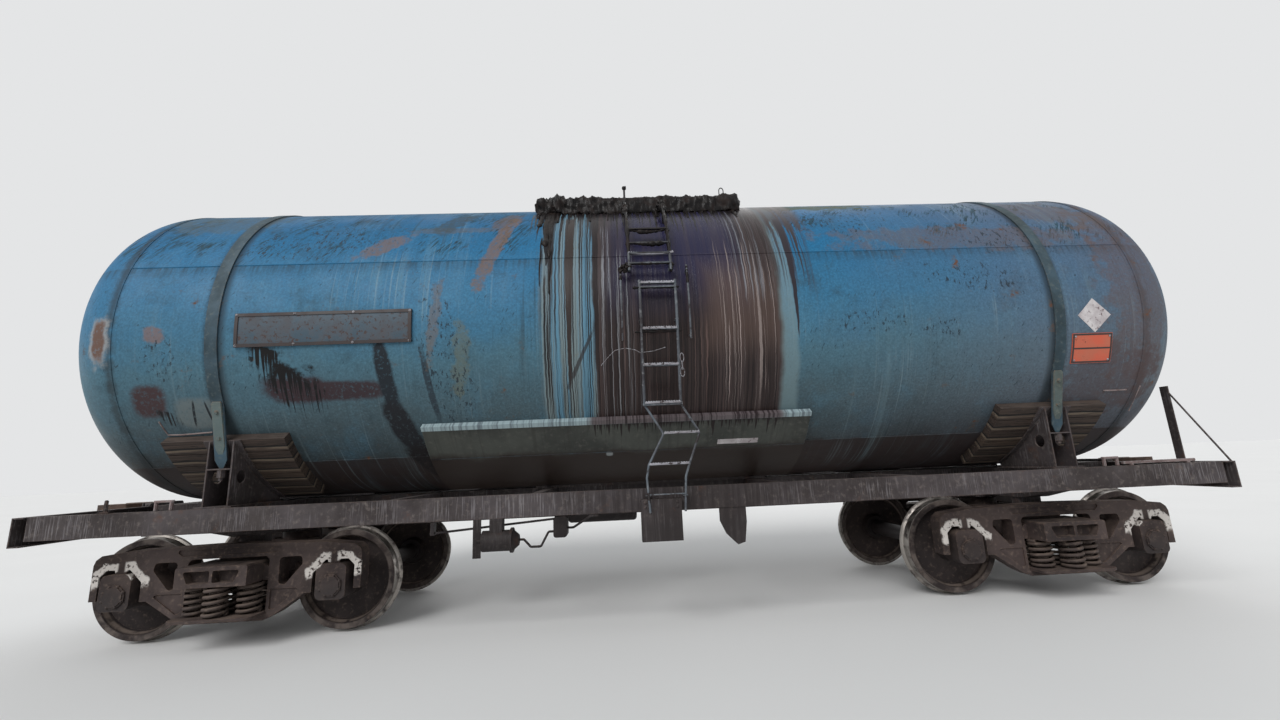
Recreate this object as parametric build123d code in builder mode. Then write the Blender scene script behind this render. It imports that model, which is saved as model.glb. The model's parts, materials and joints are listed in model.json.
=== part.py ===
"""Heated four-axle railway tank car for dark oil, on two cast three-piece bogies.

Millimetres, +Z up, +X along the car, -Y the near side. The origin is at the car's middle, with Z = 0
at the wheel flange tips.
"""
import math
import os

from build123d import *

os.makedirs("parts", exist_ok=True)

# Clearances
running_gap = 5.0
pin_gap = 1.0
seat_gap = 0.3
bore_gap = 0.5

# Wheels and axles
flange_height = 28.0
tread_radius = 451.0
axle_height = tread_radius + flange_height
wheel_inner_face = 720.0
wheel_width = 130.0
rim_thickness = 58.0
hub_radius = 135.0
hub_length = 185.0
hub_overhang = 25.0
web_thickness = 20.0
web_dish = 15.0
axle_radius = 82.0
seat_radius = 94.0
journal_radius = 65.0
journal_end = 1120.0

# Bogie layout
bogie_spacing = 7800.0
wheelbase = 1850.0
bogie_places = (("left", -bogie_spacing / 2), ("right", bogie_spacing / 2))
axle_offsets = (-wheelbase / 2, wheelbase / 2)

# Side frames: heights are measured from the axle, lengths from the bogie's middle
frame_line = 1018.0
frame_thickness = 150.0
frame_overhang = 245.0
chord_rise = 394.0
jaw_rise = 216.0
jaw_half_width = 185.0
jaw_slant = 112.0
jaw_boss_half = 45.0
horn_drop = 60.0
horn_width = 60.0
column_width = 90.0
window_half = 355.0
window_rise = 273.0
seat_drop = 193.0
seat_thickness = 24.0
chord_thickness = 78.0
seat_half_width = 278.0
edge_round = 12.0
rib_depth = 14.0
rib_width = 26.0

# Axle boxes
box_width = 262.0
box_height = 305.0
box_lift = 30.0
box_corner = 52.0
box_inner_face = 925.0
box_outer_face = 1134.0
cover_radius = 97.0
cover_depth = 20.0

# Bolsters, springs and wedges
bolster_half_length = 1298.0
bolster_end_length = 438.0
bolster_end_half = 300.0
bolster_middle_half = 225.0
bolster_end_rise = 66.0
bolster_end_depth = 169.0
bolster_middle_rise = 311.0
bolster_belly_drop = 49.0
bolster_belly_half = 400.0
bowl_rise = 356.0
bowl_radius = 158.0
bowl_rim = 25.0
kingpin_radius = 27.0
kingpin_length = 180.0
pocket_depth = 80.0
bearer_y = 762.0
bearer_rise = 35.0
bearer_gap = 6.0
spring_radius = 100.0
spring_wire = 30.0
spring_pitch = 225.0
spring_row = 180.0
spring_coils = 5
spring_nest = ((-1, -0.5), (-1, 0.5), (0, -1), (0, 0), (0, 1), (1, -0.5), (1, 0.5))

# Brake gear of a bogie
shoe_turn = 19.0
shoe_gap = 8.0
shoe_drop = 5.0
shoe_thickness = 48.0
shoe_width = 76.0
head_thickness = 34.0
beam_depth = 44.0
beam_height = 90.0
truss_depth = 95.0
truss_half = 640.0
trunnion_radius = 20.0
lever_rise = 320.0
lever_thickness = 24.0
link_radius = 16.0

# Underframe
centre_plate_boss = 49.0
centre_plate_thickness = 14.0
centre_sill_height = 310.0
centre_sill_half = 187.0
centre_sill_wall = 12.0
centre_flange = 100.0
centre_flange_thickness = 16.0
sill_height = 195.0
sill_flange = 75.0
sill_thickness = 10.0
sill_margin = 121.0
beam_overlap = 30.0
end_beam_height = 240.0
end_beam_flange = 90.0
end_overhang = 1500.0
bolster_box_half = 130.0
cross_bearer_places = (-2350.0, -1100.0, 1100.0, 2350.0)
cross_bearer_width = 80.0

# Couplers
coupler_overhang = 610.0
coupler_drop = 120.0
coupler_pivot_depth = 400.0
coupler_pin_radius = 30.0
shank_half_width = 65.0
shank_half_height = 80.0
head_length = 400.0
head_half_height = 150.0
striker_half = 165.0
striker_depth = 75.0
striker_rim = 55.0
striker_clearance = 15.0
yoke_length = 800.0
yoke_strap = 20.0
pivot_room = 60.0

# Tank
tank_radius = 1610.0
tank_lift = 23.0
tank_overhang = 197.0
head_depth = 827.0
knuckle_radius = 575.0
weld_height = 4.0
weld_width = 26.0

# Seating and hold-down straps
saddle_half_length = 160.0
web_spread = 105.0
web_hole_radius = 58.0
wood_depth = 90.0
wood_half_length = 535.0
wood_bars_a_side = 6
cradle_plate = 12.0
saddle_start = 38.0
saddle_end = 68.0
bar_split = 0.15
strap_width = 105.0
strap_thickness = 12.0
strap_leave = 27.0
strap_inset = 24.0
strap_tip = 75.0
anchor_depth = 150.0
anchor_height = 313.0
anchor_plate = 12.0
anchor_nut_radius = 34.0
anchor_nut_depth = 68.0
leg_half_length = 1260.0
leg_inner = 200.0
leg_gap = 17.5

# Manhole, lid and safety valve
neck_outer = 320.0
neck_wall = 16.0
neck_height = 120.0
lid_radius = 340.0
lid_thickness = 14.0
lid_dome = 45.0
lug_half = 60.0
lug_width = 20.0
hinge_reach = 85.0
hinge_rise = 25.0
hinge_pin = 12.0
bolt_count = 5
bolt_start = 60.0
bolt_standoff = 40.0
bolt_drop = 38.0
bolt_length = 70.0
bolt_radius = 9.0
valve_x = -640.0

# Platforms and ladders
platform_front = 1000.0
platform_rise = 175.0
platform_left = -1120.0
platform_right = 1040.0
platform_plate = 6.0
platform_inner = 600.0
platform_skirt = 150.0
bracket_count = 5
bracket_thickness = 8.0
ladder_high_xs = (-195.0, 190.0)
ladder_low_xs = (-110.0, 215.0)
ladder_high_end = 11.0
ladder_low_start = 7.5
ladder_standoff = 110.0
ladder_top_gap = 100.0
ladder_lean = 7.0
ladder_drop = 903.0
high_rung_rises = (818.0, 636.0, 514.0, 402.0)
middle_rung_rises = (192.0, 153.0, -238.0, -563.0)
low_rung_rises = (665.0, 400.0, 150.0)
high_stay_turns = (38.0, 13.0)
low_stay_turns = (6.0, -5.0)
near_post_rises = (175.0, 0.0)
far_post_rises = (175.0, 175.0)
stile_radius = 13.0
rod_radius = 10.0
rod_bend = 40.0
grab_radius = 9.0
grab_standoff = 90.0
grab_xs = (-280.0, 337.0)
grab_turns = (-11.0, 13.0)
step_width = 352.0
step_depth = 108.0
step_height = 350.0
step_lap = 105.0
step_wall = 10.0
# Sideways push and height above the foot of each bend, a row for each of the two rods
near_bends = (
    ((160.0, 665.0), (16.0, 400.0), (-6.0, 292.0), (12.0, 0.0)),
    ((155.0, 665.0), (48.0, 400.0), (10.0, 292.0), (-10.0, 0.0)),
)
far_bends = (((0.0, 0.0),), ((0.0, 0.0),))

# Heating jacket
jacket_left = -2160.0
jacket_right = 1500.0
jacket_gap = 45.0
jacket_start = 37.0
jacket_end = 76.0
ledge_reach = 60.0
ledge_height = 45.0

# Drain valve
drain_x = 100.0
drain_neck = 110.0
drain_body = 170.0
drain_bore = 75.0
drain_length = 665.0
drain_clearance = 15.0

# Air brake gear under the frame: Y is measured from the middle, heights from the axle
cylinder_start = -1790.0
cylinder_length = 290.0
cylinder_y = 500.0
cylinder_rise = 225.0
cylinder_radius = 105.0
reservoir_start = -1000.0
reservoir_length = 850.0
reservoir_y = 520.0
reservoir_rise = 400.0
reservoir_radius = 140.0
distributor_x = -980.0
distributor_rise = 340.0
distributor_width = 140.0
distributor_height = 208.0
air_pipe_radius = 12.0
air_pipe_dip = 78.0
pull_rod_y = 300.0
pull_rod_radius = 12.0
pull_rod_left = -2400.0
pull_rod_right = -1020.0
pull_rod_rises = (304.0, 401.0)
hanger_x = 640.0

# End fittings
end_rail_rise = 770.0
end_rail_y = 1030.0
rail_flat = 12.0
rail_width = 80.0
lever_standoff = 40.0
lever_outer = 1380.0
lever_inner = 250.0
lever_drop = 25.0

# Places worked out from the sizes above
frame_half_length = wheelbase / 2 + frame_overhang
chord_height = axle_height + chord_rise
seat_height = axle_height - seat_drop
window_top = axle_height + window_rise
box_top = axle_height + box_lift + box_height / 2
bolster_end_bottom = axle_height + bolster_end_rise
bolster_end_top = bolster_end_bottom + bolster_end_depth
bolster_middle_top = axle_height + bolster_middle_rise
bolster_belly = axle_height - bolster_belly_drop
bearer_top = bolster_middle_top + bearer_rise
bowl_floor = axle_height + bowl_rise
centre_sill_bottom = bowl_floor + seat_gap + centre_plate_boss + centre_plate_thickness
sill_top = centre_sill_bottom + centre_sill_height
sill_bottom = sill_top - sill_height
coupler_height = sill_top - coupler_drop
frame_half = bogie_spacing / 2 + end_overhang
coupler_reach = frame_half + coupler_overhang
coupler_pivot = frame_half - coupler_pivot_depth
tank_axis = sill_top + tank_lift + tank_radius
tank_top = tank_axis + tank_radius
tank_half = frame_half + tank_overhang
barrel_half = tank_half - head_depth
saddle_inner = tank_radius + wood_depth
saddle_outer = saddle_inner + cradle_plate
cradle_edge = saddle_outer * math.cos(math.radians(saddle_start))
cradle_low = saddle_outer * math.cos(math.radians(saddle_end))
sill_outer = cradle_edge + sill_margin
sill_inner = sill_outer - sill_flange
beam_half_width = sill_outer + beam_overlap
strap_foot_y = cradle_edge - strap_inset
anchor_top = sill_top + cradle_plate + anchor_height
strap_foot_z = anchor_top + anchor_plate + strap_tip
neck_top = tank_top + neck_height
hinge_x = neck_outer + hinge_reach
hinge_height = neck_top + hinge_rise
platform_length = platform_right - platform_left
platform_top = tank_axis + math.sqrt(tank_radius**2 - platform_front**2) + platform_rise
ladder_radius = tank_radius + ladder_standoff
ladder_low = tank_axis - ladder_drop
cylinder_z = axle_height + cylinder_rise
reservoir_z = axle_height + reservoir_rise
distributor_z = axle_height + distributor_rise
lever_top = axle_height + lever_rise
lever_height = sill_top - lever_drop


def export(builder, label):
    """Name a finished sub-part and write it as one file."""
    builder.part.label = label
    export_step(builder.part, f"parts/{label}.step")


def tank_sector(inner, outer, start, end):
    """Flat face between two radii round the tank's axis, in across-and-up coordinates."""
    centre = (0, tank_axis)
    with BuildSketch(Plane.XY, mode=Mode.PRIVATE) as sector:
        with BuildLine():
            CenterArc(centre, outer, start, end - start)
            CenterArc(centre, inner, start, end - start)
            for angle in (start, end):
                turn = math.radians(angle)
                near = (inner * math.cos(turn), tank_axis + inner * math.sin(turn))
                far = (outer * math.cos(turn), tank_axis + outer * math.sin(turn))
                Line(near, far)
        make_face()
    return sector.sketch


def side_angles(side, start, end):
    """Angles round the tank, from level down, for the side at y sign `side`."""
    return (180 + start, 180 + end) if side < 0 else (360 - end, 360 - start)


def tank_height(across):
    """Height of the barrel's underside at a distance from the car's middle plane."""
    return tank_axis - math.sqrt(tank_radius**2 - across**2)


def bar_section(wire, radius):
    """Round section of a bar, across the start of its path."""
    with BuildSketch(Plane(origin=wire @ 0, z_dir=wire % 0), mode=Mode.PRIVATE) as section:
        Circle(radius)
    return section.sketch


# Tank shell: barrel with two dished heads, each a crown arc tangent to a knuckle arc
knuckle_height = tank_axis + tank_radius - knuckle_radius
crown_radius = (head_depth**2 - knuckle_radius**2 + (tank_radius - knuckle_radius) ** 2) / (
    2 * (head_depth - knuckle_radius)
)
crown_centre = tank_half - crown_radius
knuckle_turn = math.degrees(math.atan2(tank_radius - knuckle_radius, crown_radius - head_depth))
with BuildPart() as tank_shell:
    with BuildSketch(Plane.XZ):
        with BuildLine():
            for end, crown_start, knuckle_start in ((1, 0, knuckle_turn), (-1, 180 - knuckle_turn, 90)):
                CenterArc((end * crown_centre, tank_axis), crown_radius, crown_start, knuckle_turn)
                CenterArc((end * barrel_half, knuckle_height), knuckle_radius, knuckle_start, 90 - knuckle_turn)
            Line((barrel_half, tank_top), (-barrel_half, tank_top))
            Line((-tank_half, tank_axis), (tank_half, tank_axis))
        make_face()
        for end in (-1, 1):
            with Locations((end * (barrel_half - weld_width / 2), tank_top)):
                Rectangle(weld_width, 2 * weld_height)
    revolve(axis=Axis((0, 0, tank_axis), (1, 0, 0)))
export(tank_shell, "tank_shell")

# Manhole neck with its hinge lugs and the hanging swing bolts
bolt_circle = neck_outer + bolt_standoff
bolt_sweep = 360 - 2 * bolt_start
lid_arm_half = lug_half - lug_width - pin_gap
with BuildPart() as manhole_neck:
    with BuildSketch(Plane.XY.offset(tank_top - 60)):
        Circle(neck_outer)
        Circle(neck_outer - neck_wall, mode=Mode.SUBTRACT)
    extrude(amount=neck_height + 60)
    for lug_y in (-lug_half + lug_width / 2, lug_half - lug_width / 2):
        with BuildSketch(Plane.XZ.offset(-lug_y)):
            with BuildLine():
                Polyline(
                    (neck_outer - neck_wall / 2, tank_top - 40),
                    (hinge_x + 25, tank_top - 40),
                    (hinge_x + 25, hinge_height + 22),
                    (hinge_x - 25, hinge_height + 22),
                    (hinge_x - 25, neck_top - 30),
                    (neck_outer - neck_wall / 2, neck_top - 30),
                    close=True,
                )
            make_face()
        extrude(amount=lug_width / 2, both=True)
    with Locations((hinge_x, 0, hinge_height)):
        Cylinder(hinge_pin, 2 * lug_half, rotation=(90, 0, 0))
    with BuildSketch(Plane.XY.offset(neck_top - bolt_drop)):
        with PolarLocations(neck_outer + bolt_standoff / 2, bolt_count, bolt_start, bolt_sweep, endpoint=True):
            Rectangle(bolt_standoff + 2, 24)
        with PolarLocations(bolt_circle, bolt_count, bolt_start, bolt_sweep, endpoint=True):
            Circle(20)
    extrude(amount=16)
    with BuildSketch(Plane.XY.offset(neck_top - bolt_drop)):
        with PolarLocations(bolt_circle, bolt_count, bolt_start, bolt_sweep, endpoint=True):
            Circle(bolt_radius)
    extrude(amount=-bolt_length)
    with BuildSketch(Plane.XY.offset(neck_top - bolt_drop - bolt_length)):
        with PolarLocations(bolt_circle, bolt_count, bolt_start, bolt_sweep, endpoint=True):
            RegularPolygon(2 * bolt_radius, 6)
    extrude(amount=16)
    with Locations((0, 0, tank_axis)):
        Cylinder(tank_radius, 4 * neck_outer, rotation=(0, 90, 0), mode=Mode.SUBTRACT)
export(manhole_neck, "manhole_neck")

# Manhole lid, domed, with its hinge arm, the fork lugs for the bolts and a handle
with BuildPart() as manhole_lid:
    lid_bottom = neck_top + seat_gap
    with BuildSketch(Plane.XY.offset(lid_bottom)):
        Circle(lid_radius)
        with PolarLocations(bolt_circle - 20, bolt_count, bolt_start, bolt_sweep, endpoint=True):
            Rectangle(90, 64)
        with PolarLocations(bolt_circle + 10, bolt_count, bolt_start, bolt_sweep, endpoint=True):
            Rectangle(60, 2 * bolt_radius + 6, mode=Mode.SUBTRACT)
    extrude(amount=lid_thickness)
    with BuildSketch(Plane.XY.offset(lid_bottom + lid_thickness)):
        Circle(lid_radius - 60)
    extrude(amount=lid_dome, taper=45)
    with BuildSketch(Plane.XZ):
        with BuildLine():
            Polyline(
                (lid_radius - 80, lid_bottom + 2),
                (hinge_x, lid_bottom + 2),
                (hinge_x, hinge_height + 2 * hinge_pin),
                (lid_radius - 80, hinge_height + 2 * hinge_pin),
                close=True,
            )
        make_face()
        with Locations((hinge_x, hinge_height)):
            Circle(2 * hinge_pin)
            Circle(hinge_pin + pin_gap / 2, mode=Mode.SUBTRACT)
    extrude(amount=lid_arm_half, both=True)
    with Locations((hinge_x, 0, hinge_height)):
        Cylinder(hinge_pin + pin_gap / 2, 3 * lug_half, rotation=(90, 0, 0), mode=Mode.SUBTRACT)
    handle_x = -lid_radius + 50
    handle_foot = lid_bottom + lid_thickness / 2
    with BuildLine(Plane.YZ.offset(handle_x)) as handle_path:
        FilletPolyline((-70, handle_foot), (-70, handle_foot + 75), (70, handle_foot + 75), (70, handle_foot), radius=25)
    handle_wire = handle_path.wires()[0]
    sweep(bar_section(handle_wire, 9), path=handle_wire)
export(manhole_lid, "manhole_lid")

# Safety valve on its flange
with BuildPart() as safety_valve:
    with BuildSketch(Plane(origin=(valve_x, 0, 0), x_dir=(1, 0, 0), z_dir=(0, -1, 0))):
        with BuildLine():
            Polyline(
                (0, tank_top - 30),
                (95, tank_top - 30),
                (95, tank_top + 40),
                (62, tank_top + 40),
                (62, tank_top + 130),
                (88, tank_top + 140),
                (88, tank_top + 165),
                (30, tank_top + 175),
                (0, tank_top + 175),
                close=True,
            )
        make_face()
    revolve(axis=Axis((valve_x, 0, 0), (0, 0, 1)))
    with Locations((valve_x, 0, tank_axis)):
        Cylinder(tank_radius, 2 * lid_radius, rotation=(0, 90, 0), mode=Mode.SUBTRACT)
export(safety_valve, "safety_valve")

# Platform ledges beside the manhole, one each side, on gusset brackets
platform_middle = (platform_left + platform_right) / 2
bracket_low = platform_top - platform_rise - 100
bracket_step = (platform_length - bracket_thickness) / (bracket_count - 1)
with BuildPart() as platforms:
    for side in (-1, 1):
        with BuildSketch(Plane.YZ.offset(platform_left)):
            with BuildLine():
                Polyline(
                    (side * platform_front, platform_top),
                    (side * platform_front, platform_top - platform_skirt),
                    (side * (platform_front - platform_plate), platform_top - platform_skirt),
                    (side * (platform_front - platform_plate), platform_top - platform_plate),
                    (side * platform_inner, platform_top - platform_plate),
                    (side * platform_inner, platform_top),
                    close=True,
                )
            make_face()
        extrude(amount=platform_length)
        for number in range(bracket_count):
            with BuildSketch(Plane.YZ.offset(platform_left + number * bracket_step)):
                with BuildLine():
                    Polyline(
                        (side * (platform_front - 1), platform_top - 1),
                        (side * (platform_front - 1), bracket_low),
                        (side * platform_inner, bracket_low),
                        (side * platform_inner, platform_top - 1),
                        close=True,
                    )
                make_face()
            extrude(amount=bracket_thickness)
    with Locations((platform_middle, 0, tank_axis)):
        Cylinder(tank_radius, 2 * platform_length, rotation=(0, 90, 0), mode=Mode.SUBTRACT)
export(platforms, "platforms")

# Heating jacket round the lower barrel, with the ledge along its top edge
ledge_end = jacket_start + math.degrees(ledge_height / tank_radius)
with BuildPart() as heating_jacket:
    for side in (-1, 1):
        with BuildSketch(Plane.YZ.offset(jacket_left)):
            add(tank_sector(tank_radius, tank_radius + jacket_gap, *side_angles(side, jacket_start, jacket_end)))
            add(tank_sector(tank_radius, tank_radius + ledge_reach, *side_angles(side, jacket_start, ledge_end)))
        extrude(amount=jacket_right - jacket_left)
export(heating_jacket, "heating_jacket")

# Saddles: a curved cradle on two web plates over each end of the body bolsters
cradle_radius = saddle_outer - cradle_plate / 2
cradle_turns = [math.radians(turn) for turn in (saddle_start, (saddle_start + saddle_end) / 2, saddle_end)]
web_edge = cradle_radius * math.cos(cradle_turns[0])
web_foot = sill_top + 1
foot_edge = cradle_edge + 2 * cradle_plate
hole_y = web_edge - 2.3 * web_hole_radius
hole_z = anchor_top - 1.1 * web_hole_radius
with BuildPart() as saddles:
    for _, bogie_x in bogie_places:
        for side in (-1, 1):
            with BuildSketch(Plane.YZ.offset(bogie_x - saddle_half_length)):
                add(tank_sector(saddle_inner, saddle_outer, *side_angles(side, saddle_start, saddle_end)))
            extrude(amount=2 * saddle_half_length)
            with BuildSketch(Plane.XY.offset(sill_top)):
                with Locations((bogie_x, side * (foot_edge + cradle_low) / 2)):
                    Rectangle(2 * saddle_half_length, foot_edge - cradle_low)
            extrude(amount=cradle_plate)
            for web_x in (-web_spread, web_spread):
                arc_points = [
                    (side * cradle_radius * math.cos(turn), tank_axis - cradle_radius * math.sin(turn))
                    for turn in cradle_turns
                ]
                with BuildSketch(Plane.YZ.offset(bogie_x + web_x - cradle_plate / 2)):
                    with BuildLine():
                        ThreePointArc(*arc_points)
                        Line(arc_points[2], (side * cradle_low, web_foot))
                        Line((side * cradle_low, web_foot), (side * web_edge, web_foot))
                        Line((side * web_edge, web_foot), arc_points[0])
                    make_face()
                    with Locations((side * hole_y, hole_z)):
                        Circle(web_hole_radius, mode=Mode.SUBTRACT)
                extrude(amount=cradle_plate)
export(saddles, "saddles")

# Wooden bars between cradle and tank
with BuildPart() as wood_bars:
    bar_step = (saddle_end - saddle_start) / wood_bars_a_side
    for _, bogie_x in bogie_places:
        for side in (-1, 1):
            for number in range(wood_bars_a_side):
                start = saddle_start + number * bar_step + bar_split
                end = saddle_start + (number + 1) * bar_step - bar_split
                with BuildSketch(Plane.YZ.offset(bogie_x - wood_half_length)):
                    add(tank_sector(tank_radius, saddle_inner, *side_angles(side, start, end)))
                extrude(amount=2 * wood_half_length)
export(wood_bars, "wood_bars")

# Hold-down straps over the tank, with straight tension ends that taper into the anchors
strap_middle = tank_radius + strap_thickness / 2
strap_turn = math.radians(strap_leave)
with BuildPart() as straps:
    for _, bogie_x in bogie_places:
        with BuildSketch(Plane.YZ.offset(bogie_x - strap_width / 2)):
            add(tank_sector(tank_radius, tank_radius + strap_thickness, -strap_leave, 180 + strap_leave))
        extrude(amount=strap_width)
        for side in (-1, 1):
            top_point = Vector(
                bogie_x,
                side * strap_middle * math.cos(strap_turn),
                tank_axis - strap_middle * math.sin(strap_turn),
            )
            foot = Vector(bogie_x, side * strap_foot_y, strap_foot_z)
            run = foot - top_point
            with BuildSketch(Plane(origin=top_point, x_dir=(1, 0, 0), z_dir=run)):
                Rectangle(strap_width, strap_thickness)
            extrude(amount=run.length)
            tip = foot + run * ((strap_tip - 1.5 * pin_gap) / -run.Z)
            with BuildSketch(Plane(origin=foot, x_dir=(1, 0, 0), z_dir=run)):
                Rectangle(strap_width, strap_thickness)
            with BuildSketch(Plane(origin=tip, x_dir=(1, 0, 0), z_dir=run)):
                Rectangle(strap_width / 3, strap_thickness)
            loft()
export(straps, "straps")

# Anchors that the strap ends pull on: a shelf between the two webs, with the bolt and nut under it
shelf_half = web_spread - cradle_plate / 2
strap_end_y = strap_foot_y - strap_tip * (
    (strap_middle * math.cos(strap_turn) - strap_foot_y) / (tank_axis - strap_middle * math.sin(strap_turn) - strap_foot_z)
)
with BuildPart() as strap_anchors:
    for _, bogie_x in bogie_places:
        for side in (-1, 1):
            with BuildSketch(Plane.XY.offset(anchor_top)):
                with Locations((bogie_x, side * (web_edge - anchor_depth / 2))):
                    Rectangle(2 * shelf_half, anchor_depth)
            extrude(amount=anchor_plate)
            with BuildSketch(Plane.XY.offset(anchor_top)):
                with Locations((bogie_x, side * strap_end_y)):
                    RegularPolygon(anchor_nut_radius, 6)
            extrude(amount=-anchor_nut_depth)
            with BuildSketch(Plane.XY.offset(anchor_top)):
                with Locations((bogie_x, side * strap_end_y)):
                    Circle(0.55 * anchor_nut_radius)
            extrude(amount=-1.4 * anchor_nut_depth)
export(strap_anchors, "strap_anchors")

# Middle anchors: flanged feet that fix the tank's middle to the frame, clear of the heating jacket
leg_outer = tank_radius * math.cos(math.radians(jacket_end)) - leg_gap
with BuildPart() as middle_anchors:
    for side in (-1, 1):
        with BuildSketch(Plane.YZ.offset(-leg_half_length)):
            with BuildLine():
                Polyline(
                    (side * leg_inner, sill_top),
                    (side * leg_outer, sill_top),
                    (side * leg_outer, tank_height(leg_outer) + 30),
                    (side * leg_inner, tank_height(leg_outer) + 30),
                    close=True,
                )
            make_face()
        extrude(amount=2 * leg_half_length)
    with Locations((0, 0, tank_axis)):
        Cylinder(tank_radius, 4 * leg_half_length, rotation=(0, 90, 0), mode=Mode.SUBTRACT)
export(middle_anchors, "middle_anchors")

# Centre sill: two Z sections under a cover plate
flange_top = centre_sill_bottom + centre_flange_thickness
with BuildPart() as centre_sill:
    with BuildSketch(Plane.YZ.offset(-frame_half + sill_thickness)):
        with BuildLine():
            Polyline(
                (0, sill_top),
                (centre_sill_half, sill_top),
                (centre_sill_half, flange_top),
                (centre_sill_half + centre_flange, flange_top),
                (centre_sill_half + centre_flange, centre_sill_bottom),
                (centre_sill_half - centre_sill_wall, centre_sill_bottom),
                (centre_sill_half - centre_sill_wall, sill_top - centre_sill_wall),
                (0, sill_top - centre_sill_wall),
                close=True,
            )
        make_face()
        mirror(about=Plane.YZ)
    extrude(amount=2 * (frame_half - sill_thickness))
    with Locations((drain_x, 0, sill_top)):
        Cylinder(drain_neck + drain_clearance, 4 * centre_sill_wall, mode=Mode.SUBTRACT)
export(centre_sill, "centre_sill")

# Side sills: channels with their webs outside
with BuildPart() as side_sills:
    for side in (-1, 1):
        with BuildSketch(Plane.YZ.offset(-frame_half + end_beam_flange)):
            with BuildLine():
                Polyline(
                    (side * sill_inner, sill_top),
                    (side * sill_outer, sill_top),
                    (side * sill_outer, sill_bottom),
                    (side * sill_inner, sill_bottom),
                    (side * sill_inner, sill_bottom + sill_thickness),
                    (side * (sill_outer - sill_thickness), sill_bottom + sill_thickness),
                    (side * (sill_outer - sill_thickness), sill_top - sill_thickness),
                    (side * sill_inner, sill_top - sill_thickness),
                    close=True,
                )
            make_face()
        extrude(amount=2 * (frame_half - end_beam_flange))
export(side_sills, "side_sills")

# End beams: channels with a window for the coupler
beam_bottom = sill_top - end_beam_height
window_half_width = striker_half
window_half_height = shank_half_height + striker_clearance
with BuildPart() as end_beams:
    for end in (-1, 1):
        with BuildSketch(Plane.XZ.offset(-beam_half_width)):
            with BuildLine():
                Polyline(
                    (end * frame_half, sill_top),
                    (end * frame_half, beam_bottom),
                    (end * (frame_half - end_beam_flange), beam_bottom),
                    (end * (frame_half - end_beam_flange), beam_bottom + sill_thickness),
                    (end * (frame_half - sill_thickness), beam_bottom + sill_thickness),
                    (end * (frame_half - sill_thickness), sill_top - sill_thickness),
                    (end * (frame_half - end_beam_flange), sill_top - sill_thickness),
                    (end * (frame_half - end_beam_flange), sill_top),
                    close=True,
                )
            make_face()
        extrude(amount=2 * beam_half_width)
        with Locations((end * frame_half, 0, coupler_height)):
            Box(2.2 * end_beam_flange, 2 * window_half_width, 2 * window_half_height, mode=Mode.SUBTRACT)
        with Locations((end * (frame_half - (end_beam_flange + sill_thickness) / 2), 0, coupler_height)):
            Box(
                end_beam_flange - sill_thickness,
                2 * (centre_sill_half + centre_flange),
                2 * end_beam_height,
                mode=Mode.SUBTRACT,
            )
export(end_beams, "end_beams")

# Body bolsters: tapered boxes between the centre sill and the side sills
with BuildPart() as body_bolsters:
    for _, bogie_x in bogie_places:
        for side in (-1, 1):
            with BuildSketch(Plane.YZ.offset(bogie_x - bolster_box_half)):
                with BuildLine():
                    Polyline(
                        (side * centre_sill_half, sill_top),
                        (side * sill_inner, sill_top),
                        (side * sill_inner, sill_bottom + 20),
                        (side * (bearer_y + 140), flange_top),
                        (side * centre_sill_half, flange_top),
                        close=True,
                    )
                make_face()
            extrude(amount=2 * bolster_box_half)
export(body_bolsters, "body_bolsters")

# Body centre plates with kingpins, and side bearers
with BuildPart() as centre_plates:
    for _, bogie_x in bogie_places:
        with BuildSketch(Plane.XY.offset(centre_sill_bottom)):
            with Locations((bogie_x, 0)):
                Rectangle(400, 2 * (centre_sill_half + centre_flange))
        extrude(amount=-centre_plate_thickness)
        with BuildSketch(Plane.XY.offset(centre_sill_bottom - centre_plate_thickness)):
            with Locations((bogie_x, 0)):
                Circle(bowl_radius - 8)
        extrude(amount=-centre_plate_boss)
        with BuildSketch(Plane.XY.offset(bowl_floor + seat_gap)):
            with Locations((bogie_x, 0)):
                Circle(kingpin_radius)
        extrude(amount=-kingpin_length)
export(centre_plates, "centre_plates")

with BuildPart() as side_bearers:
    for _, bogie_x in bogie_places:
        for side in (-1, 1):
            with BuildSketch(Plane.XY.offset(flange_top)):
                with Locations((bogie_x, side * bearer_y)):
                    Rectangle(220, 120)
            extrude(amount=bearer_top + bearer_gap - flange_top)
export(side_bearers, "side_bearers")

# Cross bearers between centre sill and side sills
with BuildPart() as cross_bearers:
    for bearer_x in cross_bearer_places:
        for side in (-1, 1):
            with BuildSketch(Plane.YZ.offset(bearer_x - cross_bearer_width / 2)):
                with BuildLine():
                    Polyline(
                        (side * centre_sill_half, sill_top),
                        (side * sill_inner, sill_top),
                        (side * sill_inner, sill_bottom + 40),
                        (side * centre_sill_half, centre_sill_bottom + 60),
                        close=True,
                    )
                make_face()
            extrude(amount=cross_bearer_width)
export(cross_bearers, "cross_bearers")

# Striker castings round the coupler windows
with BuildPart() as strikers:
    for end in (-1, 1):
        with BuildSketch(Plane.YZ.offset(end * frame_half)):
            with Locations((0, coupler_height)):
                RectangleRounded(2 * (striker_half + striker_rim), 2 * (window_half_height + striker_rim), 30)
                Rectangle(2 * window_half_width, 2 * window_half_height, mode=Mode.SUBTRACT)
        extrude(amount=end * striker_depth)
export(strikers, "strikers")

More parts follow.
